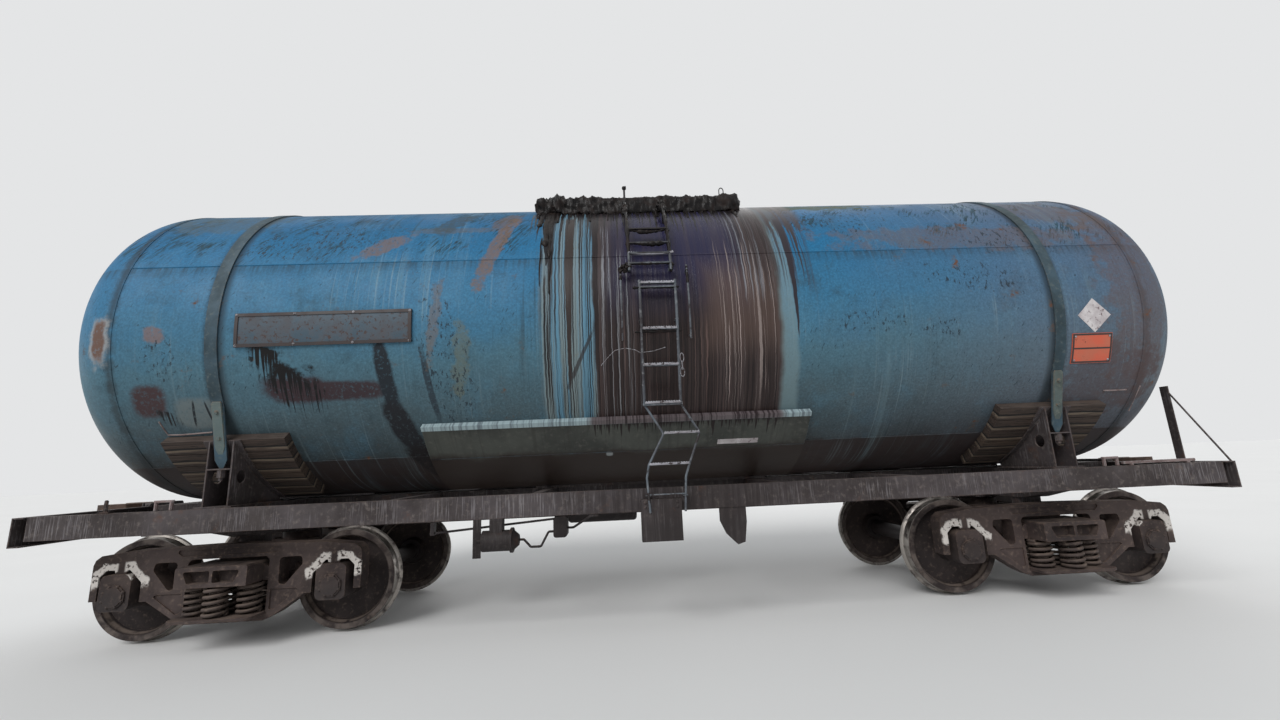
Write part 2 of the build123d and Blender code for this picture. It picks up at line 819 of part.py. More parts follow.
# Draft gear with the coupler pin, inside the centre sill
yoke_half_height = sill_top - centre_sill_wall - coupler_height
with BuildPart() as draft_gear:
    for end in (-1, 1):
        with Locations((end * (coupler_pivot - pivot_room - yoke_length / 2), 0, coupler_height)):
            Box(yoke_length, 2 * (centre_sill_half - centre_sill_wall), 2 * yoke_half_height)
        for level in (-1, 1):
            strap_level = level * (yoke_half_height - yoke_strap / 2)
            with Locations((end * (coupler_pivot - 20), 0, coupler_height + strap_level)):
                Box(2 * pivot_room, 160, yoke_strap)
        with Locations((end * coupler_pivot, 0, coupler_height)):
            Cylinder(coupler_pin_radius, 2 * yoke_half_height)
export(draft_gear, "draft_gear")

# Couplers: shank with an eye, and the head with its guard arm, throat and small jaw
head_back = coupler_reach - head_length
for label, end in (("coupler_left", -1), ("coupler_right", 1)):
    with BuildPart() as coupler:
        with BuildSketch(Plane.XY.offset(coupler_height - shank_half_height)):
            with Locations((end * coupler_pivot, 0)):
                Circle(coupler_pin_radius + 25)
            with Locations((end * (coupler_pivot + head_back) / 2, 0)):
                Rectangle(head_back - coupler_pivot, 2 * shank_half_width)
            with Locations((end * coupler_pivot, 0)):
                Circle(coupler_pin_radius + pin_gap, mode=Mode.SUBTRACT)
        extrude(amount=2 * shank_half_height)
        with BuildSketch(Plane.XY.offset(coupler_height - head_half_height)):
            with BuildLine():
                FilletPolyline(
                    (end * (head_back - 20), -70 * end),
                    (end * (head_back + 60), -160 * end),
                    (end * (head_back + 140), -235 * end),
                    (end * (coupler_reach - 80), -250 * end),
                    (end * (coupler_reach - 15), -195 * end),
                    (end * (coupler_reach - 45), -130 * end),
                    (end * (coupler_reach - 180), -85 * end),
                    (end * (coupler_reach - 180), 35 * end),
                    (end * (coupler_reach - 20), 75 * end),
                    (end * coupler_reach, 150 * end),
                    (end * (coupler_reach - 140), 205 * end),
                    (end * (head_back + 70), 185 * end),
                    (end * (head_back - 20), 70 * end),
                    radius=18,
                    close=True,
                )
            make_face()
        extrude(amount=2 * head_half_height)
    export(coupler, label)

# Wheelsets: an axle with its two wheels
flange_radius = tread_radius + flange_height
wheelset_places = [bogie_x + offset for _, bogie_x in bogie_places for offset in axle_offsets]
for number, axle_x in enumerate(wheelset_places, start=1):
    spin_axis = Axis((axle_x, 0, axle_height), (0, 1, 0))
    rim_inner_radius = tread_radius - rim_thickness
    hub_end = wheel_inner_face - hub_overhang + hub_length
    with BuildPart() as wheelset:
        with BuildSketch(Plane.XY.offset(axle_height)):
            with BuildLine():
                Polyline(
                    (axle_x, 0),
                    (axle_x + axle_radius, 0),
                    (axle_x + axle_radius, wheel_inner_face - hub_overhang - 40),
                    (axle_x + seat_radius, wheel_inner_face - hub_overhang - 10),
                    (axle_x + seat_radius, hub_end),
                    (axle_x + journal_radius, hub_end + 10),
                    (axle_x + journal_radius, journal_end - 6),
                    (axle_x + journal_radius - 6, journal_end),
                    (axle_x, journal_end),
                    close=True,
                )
            make_face()
            mirror(about=Plane.XZ)
        revolve(axis=spin_axis)
        for side in (-1, 1):
            inner = side * wheel_inner_face
            outer = side * (wheel_inner_face + wheel_width)
            web_place = side * (wheel_inner_face + wheel_width / 2)
            web_half = side * web_thickness / 2
            with BuildSketch(Plane.XY.offset(axle_height)) as wheel_profile:
                with BuildLine():
                    Polyline(
                        (axle_x + axle_radius, inner - side * hub_overhang),
                        (axle_x + hub_radius, inner - side * hub_overhang),
                        (axle_x + hub_radius + 25, web_place - web_half),
                        (axle_x + rim_inner_radius - 25, web_place - web_half - side * web_dish),
                        (axle_x + rim_inner_radius, inner),
                        (axle_x + flange_radius - 12, inner),
                        (axle_x + flange_radius, inner + side * 14),
                        (axle_x + flange_radius - 10, inner + side * 26),
                        (axle_x + tread_radius + 2, inner + side * 40),
                        (axle_x + tread_radius - 3, outer - side * 6),
                        (axle_x + tread_radius - 9, outer),
                        (axle_x + rim_inner_radius, outer),
                        (axle_x + rim_inner_radius - 25, web_place + web_half - side * web_dish),
                        (axle_x + hub_radius + 25, web_place + web_half),
                        (axle_x + hub_radius, side * hub_end),
                        (axle_x + axle_radius, side * hub_end),
                        close=True,
                    )
                make_face()
            revolve(axis=spin_axis)
    export(wheelset, f"wheelset_{number}")

# Bogies, each with two side frames, a bolster on spring nests, wedges, axle boxes and brake gear
jaw_middle = wheelbase / 2
jaw_inner = jaw_middle - jaw_half_width
jaw_outer = jaw_middle + jaw_half_width
jaw_foot = axle_height - horn_drop
jaw_top = axle_height + jaw_rise
seat_bottom = seat_height - chord_thickness
jaw_depth = jaw_rise + horn_drop + 120
shoe_face_radius = tread_radius + shoe_gap
shoe_back_radius = shoe_face_radius + shoe_thickness
head_back_radius = shoe_back_radius + head_thickness
beam_offset = jaw_middle - head_back_radius - beam_depth / 2
beam_z = axle_height - shoe_drop
tread_line = wheel_inner_face + wheel_width - shoe_width / 2 - 6
frame_inner_y = frame_line - frame_thickness / 2
rod_height = bolster_belly - 2 * link_radius
for bogie_name, bogie_x in bogie_places:
    for side_name, side in (("near", -1), ("far", 1)):
        face_plane = Plane(origin=(bogie_x, side * frame_line, 0), x_dir=(1, 0, 0), z_dir=(0, -1, 0))
        with BuildPart() as side_frame:
            with BuildSketch(face_plane) as outline:
                with BuildLine():
                    Polyline(
                        (0, seat_bottom),
                        (window_half - 15, seat_bottom),
                        (window_half + column_width - 15, seat_bottom + 0.55 * chord_thickness),
                        (jaw_inner - horn_width, jaw_foot),
                        (jaw_middle, jaw_foot),
                        (jaw_middle, jaw_foot + 20),
                        (frame_half_length, jaw_foot + 20),
                        (frame_half_length, chord_height - 132),
                        (frame_half_length - 16, chord_height - 88),
                        (frame_half_length - 62, chord_height - 52),
                        (jaw_middle - 85, chord_height - 20),
                        (0, chord_height),
                        close=True,
                    )
                make_face()
                mirror(about=Plane.YZ)
                with BuildLine():
                    FilletPolyline(
                        (-window_half, seat_height),
                        (-window_half, window_top),
                        (window_half, window_top),
                        (window_half, seat_height),
                        radius=45,
                    )
                    Line((window_half, seat_height), (-window_half, seat_height))
                make_face(mode=Mode.SUBTRACT)
                for way in (-1, 1):
                    with BuildLine():
                        FilletPolyline(
                            (way * (window_half + column_width), window_top - 14),
                            (way * (jaw_inner - 100), window_top - 14),
                            (way * (jaw_inner - 90), window_top - 80),
                            (way * (window_half + column_width + 55), axle_height + 16),
                            (way * (window_half + column_width), axle_height + 34),
                            radius=32,
                            close=True,
                        )
                    make_face(mode=Mode.SUBTRACT)
                    with BuildLine():
                        FilletPolyline(
                            (way * jaw_inner, jaw_top - jaw_depth),
                            (way * jaw_inner, jaw_top - jaw_slant),
                            (way * (jaw_inner + jaw_slant), jaw_top),
                            (way * (jaw_outer - jaw_slant / 2), jaw_top),
                            (way * jaw_outer, jaw_top - jaw_slant / 2),
                            (way * jaw_outer, jaw_top - jaw_depth),
                            radius=26,
                            close=True,
                        )
                    make_face(mode=Mode.SUBTRACT)
                    with BuildLine():
                        Polyline(
                            (way * jaw_middle - jaw_boss_half - 15, jaw_top + 10),
                            (way * jaw_middle - jaw_boss_half, box_top),
                            (way * jaw_middle + jaw_boss_half, box_top),
                            (way * jaw_middle + jaw_boss_half + 15, jaw_top + 10),
                            close=True,
                        )
                    make_face()
            extrude(amount=frame_thickness / 2, both=True)
            # Sunk panels leave a rim round the top chord and the slanting legs
            for face in (-1, 1):
                panel_plane = face_plane.offset(face * (frame_thickness / 2 - rib_depth))
                with BuildSketch(panel_plane):
                    with BuildLine():
                        FilletPolyline(
                            (-window_half - 60, window_top + rib_width + 4),
                            (window_half + 60, window_top + rib_width + 4),
                            (window_half + 130, chord_height - rib_width - 9),
                            (-window_half - 130, chord_height - rib_width - 9),
                            radius=18,
                            close=True,
                        )
                    make_face()
                    for way in (-1, 1):
                        with BuildLine():
                            FilletPolyline(
                                (way * (window_half + rib_width), axle_height - 10),
                                (way * (window_half + rib_width), seat_height + 10),
                                (way * (window_half + 70), seat_height + 12),
                                (way * (jaw_inner - 105), jaw_foot + 40),
                                (way * (jaw_inner - 150), axle_height - 10),
                                radius=11,
                                close=True,
                            )
                        make_face()
                extrude(amount=face * 2 * rib_depth, mode=Mode.SUBTRACT)
            with BuildSketch(Plane.XY.offset(seat_height)):
                with Locations((bogie_x, side * frame_line)):
                    RectangleRounded(2 * window_half, 2 * seat_half_width, 60)
            extrude(amount=-seat_thickness)
        export(side_frame, f"side_frame_{bogie_name}_{side_name}")

    with BuildPart() as bolster:
        with BuildSketch(Plane.YZ.offset(bogie_x)):
            with BuildLine():
                Polyline(
                    (0, bolster_belly),
                    (bolster_belly_half, bolster_belly),
                    (frame_inner_y - seat_half_width + 60, bolster_end_bottom),
                    (bolster_half_length, bolster_end_bottom),
                    (bolster_half_length, bolster_end_top),
                    (frame_line - 118, bolster_end_top),
                    (bearer_y + 62, bolster_middle_top),
                    (0, bolster_middle_top),
                    close=True,
                )
            make_face()
            mirror(about=Plane.YZ)
        extrude(amount=bolster_middle_half, both=True)
        for side in (-1, 1):
            # The widened end over the springs, with two pockets each side of a rib
            end_plane = Plane(
                origin=(bogie_x, side * bolster_half_length, 0), x_dir=(1, 0, 0), z_dir=(0, -1, 0)
            )
            with BuildSketch(end_plane):
                with BuildLine():
                    Polyline(
                        (-bolster_end_half, bolster_end_bottom),
                        (-bolster_end_half, bolster_end_top - 12),
                        (-bolster_end_half + 12, bolster_end_top),
                        (bolster_end_half - 12, bolster_end_top),
                        (bolster_end_half, bolster_end_top - 12),
                        (bolster_end_half, bolster_end_bottom),
                        close=True,
                    )
                make_face()
            extrude(amount=side * bolster_end_length)
            with BuildSketch(end_plane):
                for way in (-1, 1):
                    with BuildLine():
                        FilletPolyline(
                            (way * 12, bolster_end_top - 34),
                            (way * (bolster_end_half - 60), bolster_end_top - 34),
                            (way * (bolster_end_half - 105), bolster_end_bottom + 34),
                            (way * 12, bolster_end_bottom + 34),
                            radius=16,
                            close=True,
                        )
                    make_face()
            extrude(amount=side * pocket_depth, mode=Mode.SUBTRACT)
            with BuildSketch(Plane.XY.offset(bolster_middle_top)):
                with Locations((bogie_x, side * bearer_y)):
                    Rectangle(200, 120)
            extrude(amount=bearer_top - bolster_middle_top)
        with BuildSketch(Plane.XY.offset(bolster_middle_top)):
            with Locations((bogie_x, 0)):
                Circle(bowl_radius + 27)
        extrude(amount=bowl_floor - bolster_middle_top + bowl_rim)
        with BuildSketch(Plane.XY.offset(bowl_floor)):
            with Locations((bogie_x, 0)):
                Circle(bowl_radius)
        extrude(amount=2 * bowl_rim, mode=Mode.SUBTRACT)
        with BuildSketch(Plane.XY.offset(bowl_floor)):
            with Locations((bogie_x, 0)):
                Circle(kingpin_radius + 3)
        extrude(amount=-kingpin_length - 10, mode=Mode.SUBTRACT)
    export(bolster, f"bolster_{bogie_name}")

    # Springs: each a stack of coils on one core
    with BuildPart() as springs:
        coil_pitch = (bolster_end_bottom - seat_height) / spring_coils
        for side in (-1, 1):
            for row, column in spring_nest:
                spring_x = bogie_x + column * spring_pitch
                spring_y = side * frame_line + row * spring_row
                spring_plane = Plane(origin=(spring_x, spring_y, 0), x_dir=(1, 0, 0), z_dir=(0, -1, 0))
                outline = [(0, seat_height)]
                for coil in range(spring_coils):
                    low = seat_height + coil * coil_pitch
                    outline += [
                        (spring_radius - spring_wire, low),
                        (spring_radius, low + 0.25 * coil_pitch),
                        (spring_radius, low + 0.75 * coil_pitch),
                    ]
                outline += [(spring_radius - spring_wire, bolster_end_bottom), (0, bolster_end_bottom)]
                with BuildSketch(spring_plane):
                    with BuildLine():
                        Polyline(*outline, close=True)
                    make_face()
                revolve(axis=Axis((spring_x, spring_y, 0), (0, 0, 1)))
    export(springs, f"springs_{bogie_name}")

    with BuildPart() as axle_boxes:
        for side in (-1, 1):
            for offset in axle_offsets:
                axle_x = bogie_x + offset
                inner_plane = Plane(
                    origin=(axle_x, side * box_inner_face, axle_height), x_dir=(1, 0, 0), z_dir=(0, -1, 0)
                )
                outer_plane = Plane(
                    origin=(axle_x, side * box_outer_face, axle_height), x_dir=(1, 0, 0), z_dir=(0, -1, 0)
                )
                with BuildSketch(inner_plane):
                    with Locations((0, box_lift)):
                        RectangleRounded(box_width, box_height, box_corner)
                extrude(amount=-side * (box_outer_face - box_inner_face))
                with BuildSketch(outer_plane):
                    Circle(cover_radius)
                extrude(amount=-side * 0.6 * cover_depth)
                with BuildSketch(outer_plane):
                    Circle(cover_radius - 14)
                extrude(amount=-side * cover_depth)
                with BuildSketch(inner_plane):
                    Circle(journal_radius + pin_gap)
                extrude(amount=-side * (journal_end - box_inner_face + running_gap), mode=Mode.SUBTRACT)
    export(axle_boxes, f"axle_boxes_{bogie_name}")

    with BuildPart() as wedges:
        for side in (-1, 1):
            for way in (-1, 1):
                with BuildSketch(Plane.XZ.offset(side * frame_line)):
                    with BuildLine():
                        Polyline(
                            (bogie_x + way * bolster_end_half, bolster_end_bottom),
                            (bogie_x + way * bolster_end_half, bolster_end_top - 30),
                            (bogie_x + way * window_half, bolster_end_top - 60),
                            (bogie_x + way * window_half, bolster_end_bottom),
                            close=True,
                        )
                    make_face()
                extrude(amount=60, both=True)
    export(wedges, f"wedges_{bogie_name}")

    # Brake beams: shoes concentric with the treads, trussed bars, and trunnions in the side frames
    with BuildPart() as brake_beams:
        for way in (-1, 1):
            axle_x = bogie_x + way * jaw_middle
            beam_x = bogie_x + way * beam_offset
            middle = 180 if way > 0 else 0
            for side in (-1, 1):
                with BuildSketch(Plane.XZ.offset(-side * tread_line)):
                    with BuildLine():
                        CenterArc((axle_x, axle_height), shoe_face_radius, middle - shoe_turn, 2 * shoe_turn)
                        CenterArc((axle_x, axle_height), shoe_back_radius, middle - shoe_turn, 2 * shoe_turn)
                        for turn in (middle - shoe_turn, middle + shoe_turn):
                            radian = math.radians(turn)
                            Line(
                                (
                                    axle_x + shoe_face_radius * math.cos(radian),
                                    axle_height + shoe_face_radius * math.sin(radian),
                                ),
                                (
                                    axle_x + shoe_back_radius * math.cos(radian),
                                    axle_height + shoe_back_radius * math.sin(radian),
                                ),
                            )
                    make_face()
                extrude(amount=shoe_width / 2, both=True)
                with BuildSketch(Plane.XZ.offset(-side * tread_line)):
                    with Locations((beam_x + way * (beam_depth + head_thickness) / 2, beam_z)):
                        Rectangle(head_thickness + 14, 190)
                extrude(amount=28, both=True)
            with BuildSketch(Plane.XY.offset(beam_z - beam_height / 2)):
                with Locations((beam_x, 0)):
                    Rectangle(beam_depth, 2 * (tread_line + 40))
                with BuildLine():
                    inner_x = beam_x - way * beam_depth / 2
                    Polyline(
                        (inner_x + way * 5, -truss_half),
                        (inner_x - way * truss_depth, -30),
                        (inner_x - way * truss_depth, 30),
                        (inner_x + way * 5, truss_half),
                        close=True,
                    )
                make_face()
                with BuildLine():
                    Polyline(
                        (inner_x + way, -truss_half + 150),
                        (inner_x - way * (truss_depth - 40), -20),
                        (inner_x - way * (truss_depth - 40), 20),
                        (inner_x + way, truss_half - 150),
                        close=True,
                    )
                make_face(mode=Mode.SUBTRACT)
            extrude(amount=beam_height)
            with Locations((beam_x, 0, beam_z)):
                Cylinder(trunnion_radius, 2 * frame_inner_y, rotation=(90, 0, 0))
            lever_x = beam_x - way * (beam_depth / 2 + truss_depth - 25)
            with BuildSketch(Plane.XZ):
                with BuildLine():
                    Polyline(
                        (lever_x - 28, rod_height - 30),
                        (lever_x + 28, rod_height - 30),
                        (lever_x + 34, beam_z + beam_height / 2),
                        (lever_x + 24, lever_top),
                        (lever_x - 24, lever_top),
                        (lever_x - 34, beam_z + beam_height / 2),
                        close=True,
                    )
                make_face()
            extrude(amount=lever_thickness / 2, both=True)
        link_x = beam_offset - beam_depth / 2 - truss_depth + 25
        with Locations((bogie_x, 0, rod_height)):
            Cylinder(link_radius, 2 * link_x, rotation=(0, 90, 0))
    export(brake_beams, f"brake_beams_{bogie_name}")

# Ladders: a wide upper part and a narrow lower one; the near one is bent sideways near its foot
ladder_low_y = ladder_radius / math.cos(math.radians(ladder_lean)) - ladder_drop * math.tan(
    math.radians(ladder_lean)
)
ladder_top_y = platform_front + ladder_top_gap
ladder_foot = sill_bottom - 5
rod_y = ladder_low_y - stile_radius - rod_radius - 2.0
top_turn = math.degrees(math.acos(ladder_top_y / ladder_radius))
arc_top = tank_axis + ladder_radius * math.sin(math.radians(top_turn))
low_rung_heights = [ladder_foot + rise for rise in low_rung_rises]
tie_height = sill_bottom + step_lap + 25


def ladder_arc(side, start, end):
    """Start, middle and end of a stile's bend round the tank, at angles above level."""
    return [
        (side * ladder_radius * math.cos(turn), tank_axis + ladder_radius * math.sin(turn))
        for turn in (math.radians(start), math.radians((start + end) / 2), math.radians(end))
    ]


def bent_rod(stile_x, bends):
    """Points of a ladder rod from the ladder's low end to its foot, pushed sideways by the bends."""
    high = (stile_x, ladder_low)
    return [high] + [(stile_x + push, ladder_foot + rise) for push, rise in bends]


def rod_x(points, height):
    """X of a bent rod at a height, by straight lines between its points."""
    for (x_high, high), (x_low, low) in zip(points, points[1:]):
        if low <= height <= high:
            return x_low + (x_high - x_low) * (height - low) / (high - low)
    return points[0][0]


for label, side, post_rises, bends in (
    ("ladder_near", -1, near_post_rises, near_bends),
    ("ladder_far", 1, far_post_rises, far_bends),
):
    rods = [bent_rod(stile_x, rod_bends) for stile_x, rod_bends in zip(ladder_low_xs, bends)]
    with BuildPart() as ladder:
        for stile_x, post_rise in zip(ladder_high_xs, post_rises):
            arc_points = ladder_arc(side, top_turn, ladder_high_end)
            with BuildLine(Plane.YZ.offset(stile_x)) as stile_path:
                ThreePointArc(*arc_points)
            stile_wire = stile_path.wires()[0]
            sweep(bar_section(stile_wire, stile_radius), path=stile_wire)
            if post_rise > 0:
                with BuildSketch(Plane.XY.offset(arc_top - stile_radius / 2)):
                    with Locations((stile_x, side * ladder_top_y)):
                        Circle(stile_radius - 2)
                extrude(amount=post_rise + stile_radius / 2)
        for stile_x, points in zip(ladder_low_xs, rods):
            arc_points = ladder_arc(side, ladder_low_start, -ladder_lean)
            with BuildLine(Plane.YZ.offset(stile_x)) as stile_path:
                ThreePointArc(*arc_points)
                Line(arc_points[2], (side * ladder_low_y, ladder_low))
            stile_wire = stile_path.wires()[0]
            sweep(bar_section(stile_wire, stile_radius), path=stile_wire)
            with BuildLine(Plane.XZ.offset(-side * rod_y)) as rod_path:
                if len(points) > 2:
                    FilletPolyline(*points, radius=rod_bend)
                else:
                    Line(*points)
            rod_wire = rod_path.wires()[0]
            sweep(bar_section(rod_wire, rod_radius), path=rod_wire)
        for stile_xs, turns, rises in (
            (ladder_high_xs, high_stay_turns, high_rung_rises),
            (ladder_low_xs, low_stay_turns, middle_rung_rises),
        ):
            for stile_x in stile_xs:
                for turn in turns:
                    radian = math.radians(turn)
                    out = Vector(0, side * math.cos(radian), math.sin(radian))
                    start = Vector(stile_x, 0, tank_axis) + out * tank_radius
                    with BuildSketch(Plane(origin=start, x_dir=(1, 0, 0), z_dir=out)):
                        Rectangle(30, 8)
                    extrude(amount=ladder_radius - tank_radius)
            for rise in rises:
                if rise > 0:
                    rung_y = math.sqrt(ladder_radius**2 - rise**2)
                else:
                    rung_y = ladder_low_y + (rise + ladder_drop) * math.tan(math.radians(ladder_lean))
                with Locations((sum(stile_xs) / 2, side * rung_y, tank_axis + rise)):
                    Box(stile_xs[1] - stile_xs[0], 40, 12)
        with Locations((sum(ladder_low_xs) / 2, side * (rod_y + ladder_low_y) / 2, ladder_low)):
            Box(ladder_low_xs[1] - ladder_low_xs[0] + 2 * stile_radius, 60, 24)
        for height in low_rung_heights:
            low_xs = [rod_x(points, height) for points in rods]
            with Locations((sum(low_xs) / 2, side * rod_y, height)):
                Box(low_xs[1] - low_xs[0], 30, 8)
        for points in rods:
            foot_x = rod_x(points, tie_height)
            with Locations((foot_x, side * (rod_y + sill_outer) / 2, tie_height)):
                Box(40, rod_y - sill_outer, 10)
    export(ladder, label)

# Step below each ladder: a boxed-in tread that hangs from the sill
step_top = sill_bottom + step_lap
with BuildPart() as ladder_steps:
    for side in (-1, 1):
        with BuildSketch(Plane.XY.offset(step_top)):
            with Locations((0, side * (sill_outer + step_depth / 2))):
                Rectangle(step_width, step_depth)
        extrude(amount=-step_height)
        with BuildSketch(Plane.XY.offset(step_top - step_wall)):
            with Locations((0, side * (sill_outer + step_depth / 2))):
                Rectangle(step_width - 2 * step_wall, step_depth - 2 * step_wall)
        extrude(amount=-step_height, mode=Mode.SUBTRACT)
export(ladder_steps, "ladder_steps")

# Grab rails on the tank beside the ladders
with BuildPart() as grab_rails:
    for side in (-1, 1):
        for rail_x in grab_xs:
            low_turn, high_turn = grab_turns
            radius = tank_radius + grab_standoff
            arc_points = [
                (side * radius * math.cos(turn), tank_axis + radius * math.sin(turn))
                for turn in (math.radians(low_turn), math.radians((low_turn + high_turn) / 2), math.radians(high_turn))
            ]
            with BuildLine(Plane.YZ.offset(rail_x)) as rail_path:
                ThreePointArc(*arc_points)
            rail_wire = rail_path.wires()[0]
            sweep(bar_section(rail_wire, grab_radius), path=rail_wire)
            for turn in (low_turn + 1, high_turn - 1):
                radian = math.radians(turn)
                out = Vector(0, side * math.cos(radian), math.sin(radian))
                start = Vector(rail_x, 0, tank_axis) + out * tank_radius
                with BuildSketch(Plane(origin=start, x_dir=(1, 0, 0), z_dir=out)):
                    Circle(grab_radius - 1)
                extrude(amount=grab_standoff)
export(grab_rails, "grab_rails")

# Number plate frames and hazard plates, blank, one of each a side: first and last X on the far side,
# first and last angle below level, thickness
plate_table = (
    ("number", 2170.0, 3700.0, -1.5, 9.2, 14.0),
    ("hazard", -4420.0, -4020.0, 13.6, 23.9, 8.0),
)
for name, start_x, end_x, high_turn, low_turn, thickness in plate_table:
    with BuildPart() as plates:
        for side in (-1, 1):
            left_x = min(side * start_x, side * end_x)
            with BuildSketch(Plane.YZ.offset(left_x)):
                add(tank_sector(tank_radius, tank_radius + thickness, *side_angles(side, high_turn, low_turn)))
            extrude(amount=end_x - start_x)
    export(plates, f"{name}_plates")

# Drain valve under the tank, through the centre sill
drain_low = tank_axis - tank_radius - drain_length
with BuildPart() as drain_valve:
    with BuildSketch(Plane(origin=(drain_x, 0, 0), x_dir=(1, 0, 0), z_dir=(0, -1, 0))):
        with BuildLine():
            Polyline(
                (drain_bore, drain_low),
                (drain_bore + 45, drain_low),
                (drain_bore + 45, drain_low + 30),
                (drain_bore + 20, drain_low + 30),
                (drain_bore + 20, drain_low + 120),
                (drain_body, drain_low + 150),
                (drain_body, drain_low + 290),
                (drain_neck, drain_low + 320),
                (drain_neck, tank_axis - tank_radius + 20),
                (0, tank_axis - tank_radius + 20),
                (0, drain_low + 90),
                (drain_bore, drain_low + 90),
                close=True,
            )
        make_face()
    revolve(axis=Axis((drain_x, 0, 0), (0, 0, 1)))
    with Locations((drain_x, 0, tank_axis)):
        Cylinder(tank_radius, 4 * drain_body, rotation=(0, 90, 0), mode=Mode.SUBTRACT)
export(drain_valve, "drain_valve")

# Brake cylinder, air reservoir and distributor, hung from the centre sill by brackets
hang_level = flange_top + 95
with BuildPart() as brake_cylinder:
    with BuildSketch(Plane.YZ.offset(cylinder_start)):
        with Locations((-cylinder_y, cylinder_z)):
            Circle(cylinder_radius)
    extrude(amount=cylinder_length)
    with BuildSketch(Plane.YZ.offset(cylinder_start + cylinder_length)):
        with Locations((-cylinder_y, cylinder_z)):
            Circle(cylinder_radius + 20)
    extrude(amount=25)
    with BuildSketch(Plane.YZ.offset(cylinder_start + cylinder_length + 25)):
        with Locations((-cylinder_y, cylinder_z)):
            Circle(cylinder_radius)
    extrude(amount=60, taper=40)
    with Locations((cylinder_start + cylinder_length / 2, 0, 0)):
        with Locations((0, -cylinder_y, (cylinder_z + hang_level) / 2)):
            Box(0.45 * cylinder_length, 120, hang_level - cylinder_z)
        with Locations((0, -(centre_sill_half + cylinder_y + 60) / 2, hang_level)):
            Box(0.45 * cylinder_length, cylinder_y + 60 - centre_sill_half, 20)
export(brake_cylinder, "brake_cylinder")

with BuildPart() as air_reservoir:
    with BuildSketch(Plane.YZ.offset(reservoir_start)):
        with Locations((reservoir_y, reservoir_z)):
            Circle(reservoir_radius)
    extrude(amount=reservoir_length)
    fillet(air_reservoir.edges().filter_by(GeomType.CIRCLE), 0.3 * reservoir_radius)
    for share in (0.2, 0.8):
        with Locations((reservoir_start + share * reservoir_length, 0, 0)):
            with Locations((0, reservoir_y, (reservoir_z + hang_level) / 2)):
                Box(50, 120, hang_level - reservoir_z)
            with Locations((0, (centre_sill_half + reservoir_y + 60) / 2, hang_level)):
                Box(50, reservoir_y + 60 - centre_sill_half, 20)
export(air_reservoir, "air_reservoir")

# Air distributor with the bent pipes that lead to the cylinder and up to the centre sill
flange_edge = centre_sill_half + centre_flange
pipe_plane = Plane.XZ.offset(cylinder_y)
pipe_low = cylinder_z - air_pipe_dip
pipe_high = flange_top - centre_flange_thickness / 2
cylinder_tip = cylinder_start + cylinder_length + 85
distributor_left = distributor_x - distributor_width / 2
distributor_right = distributor_x + distributor_width / 2
with BuildPart() as air_distributor:
    with Locations((distributor_x, -cylinder_y, distributor_z)):
        Box(distributor_width, 190, distributor_height)
        fillet(air_distributor.edges().filter_by(Axis.Y), 30)
    with Locations((distributor_x, -cylinder_y, (distributor_z + hang_level) / 2)):
        Box(0.6 * distributor_width, 40, hang_level - distributor_z)
    with Locations((distributor_x, -(centre_sill_half + cylinder_y + 60) / 2, hang_level)):
        Box(0.6 * distributor_width, cylinder_y + 60 - centre_sill_half, 20)
    with BuildLine(pipe_plane) as pipe_path:
        FilletPolyline(
            (cylinder_tip, cylinder_z),
            (cylinder_tip + 50, cylinder_z),
            (cylinder_tip + 120, pipe_low),
            (distributor_left - 140, pipe_low),
            (distributor_left - 60, distributor_z - 50),
            (distributor_left + 20, distributor_z - 50),
            radius=24,
        )
    pipe_wire = pipe_path.wires()[0]
    sweep(bar_section(pipe_wire, air_pipe_radius), path=pipe_wire)
    with BuildLine(pipe_plane) as pipe_path:
        FilletPolyline(
            (distributor_right - 20, distributor_z - 20),
            (distributor_right + 60, distributor_z - 20),
            (distributor_right + 240, pipe_high),
            (distributor_right + 320, pipe_high),
            radius=40,
        )
    pipe_wire = pipe_path.wires()[0]
    sweep(bar_section(pipe_wire, air_pipe_radius), path=pipe_wire)
    with BuildSketch(pipe_plane):
        with Locations((distributor_right + 320 - air_pipe_radius, pipe_high)):
            Circle(air_pipe_radius)
    extrude(amount=flange_edge - cylinder_y)
export(air_distributor, "air_distributor")

# Brake lever beside the cylinder, and the pull rod to the bogies with its hangers
lever_x = cylinder_start - 60
lever_low = cylinder_z - 165
with BuildPart() as brake_rods:
    with Locations((lever_x, -cylinder_y, (lever_low + hang_level) / 2)):
        Box(80, 22, hang_level - lever_low)
    with Locations((lever_x, -(centre_sill_half + cylinder_y + 40) / 2, hang_level)):
        Box(120, cylinder_y + 40 - centre_sill_half, 20)
    with BuildSketch(Plane.YZ.offset(lever_x)):
        with Locations((-cylinder_y, cylinder_z)):
            Circle(0.2 * cylinder_radius)
    extrude(amount=cylinder_start - lever_x)
    rod_ends = [
        (end_x, -pull_rod_y, axle_height + rise)
        for end_x, rise in zip((pull_rod_left, pull_rod_right), pull_rod_rises)
    ]
    with BuildLine() as rod_path:
        Line(*rod_ends)
    rod_wire = rod_path.wires()[0]
    sweep(bar_section(rod_wire, pull_rod_radius), path=rod_wire)
    for (end_x, _, end_z), inset in zip(rod_ends, (30, -30)):
        hanger_low = end_z - 16
        with Locations((end_x + inset, -(pull_rod_y + flange_edge) / 2, (hanger_low + centre_sill_bottom) / 2)):
            Box(40, pull_rod_y - flange_edge + 60, centre_sill_bottom - hanger_low)
export(brake_rods, "brake_rods")

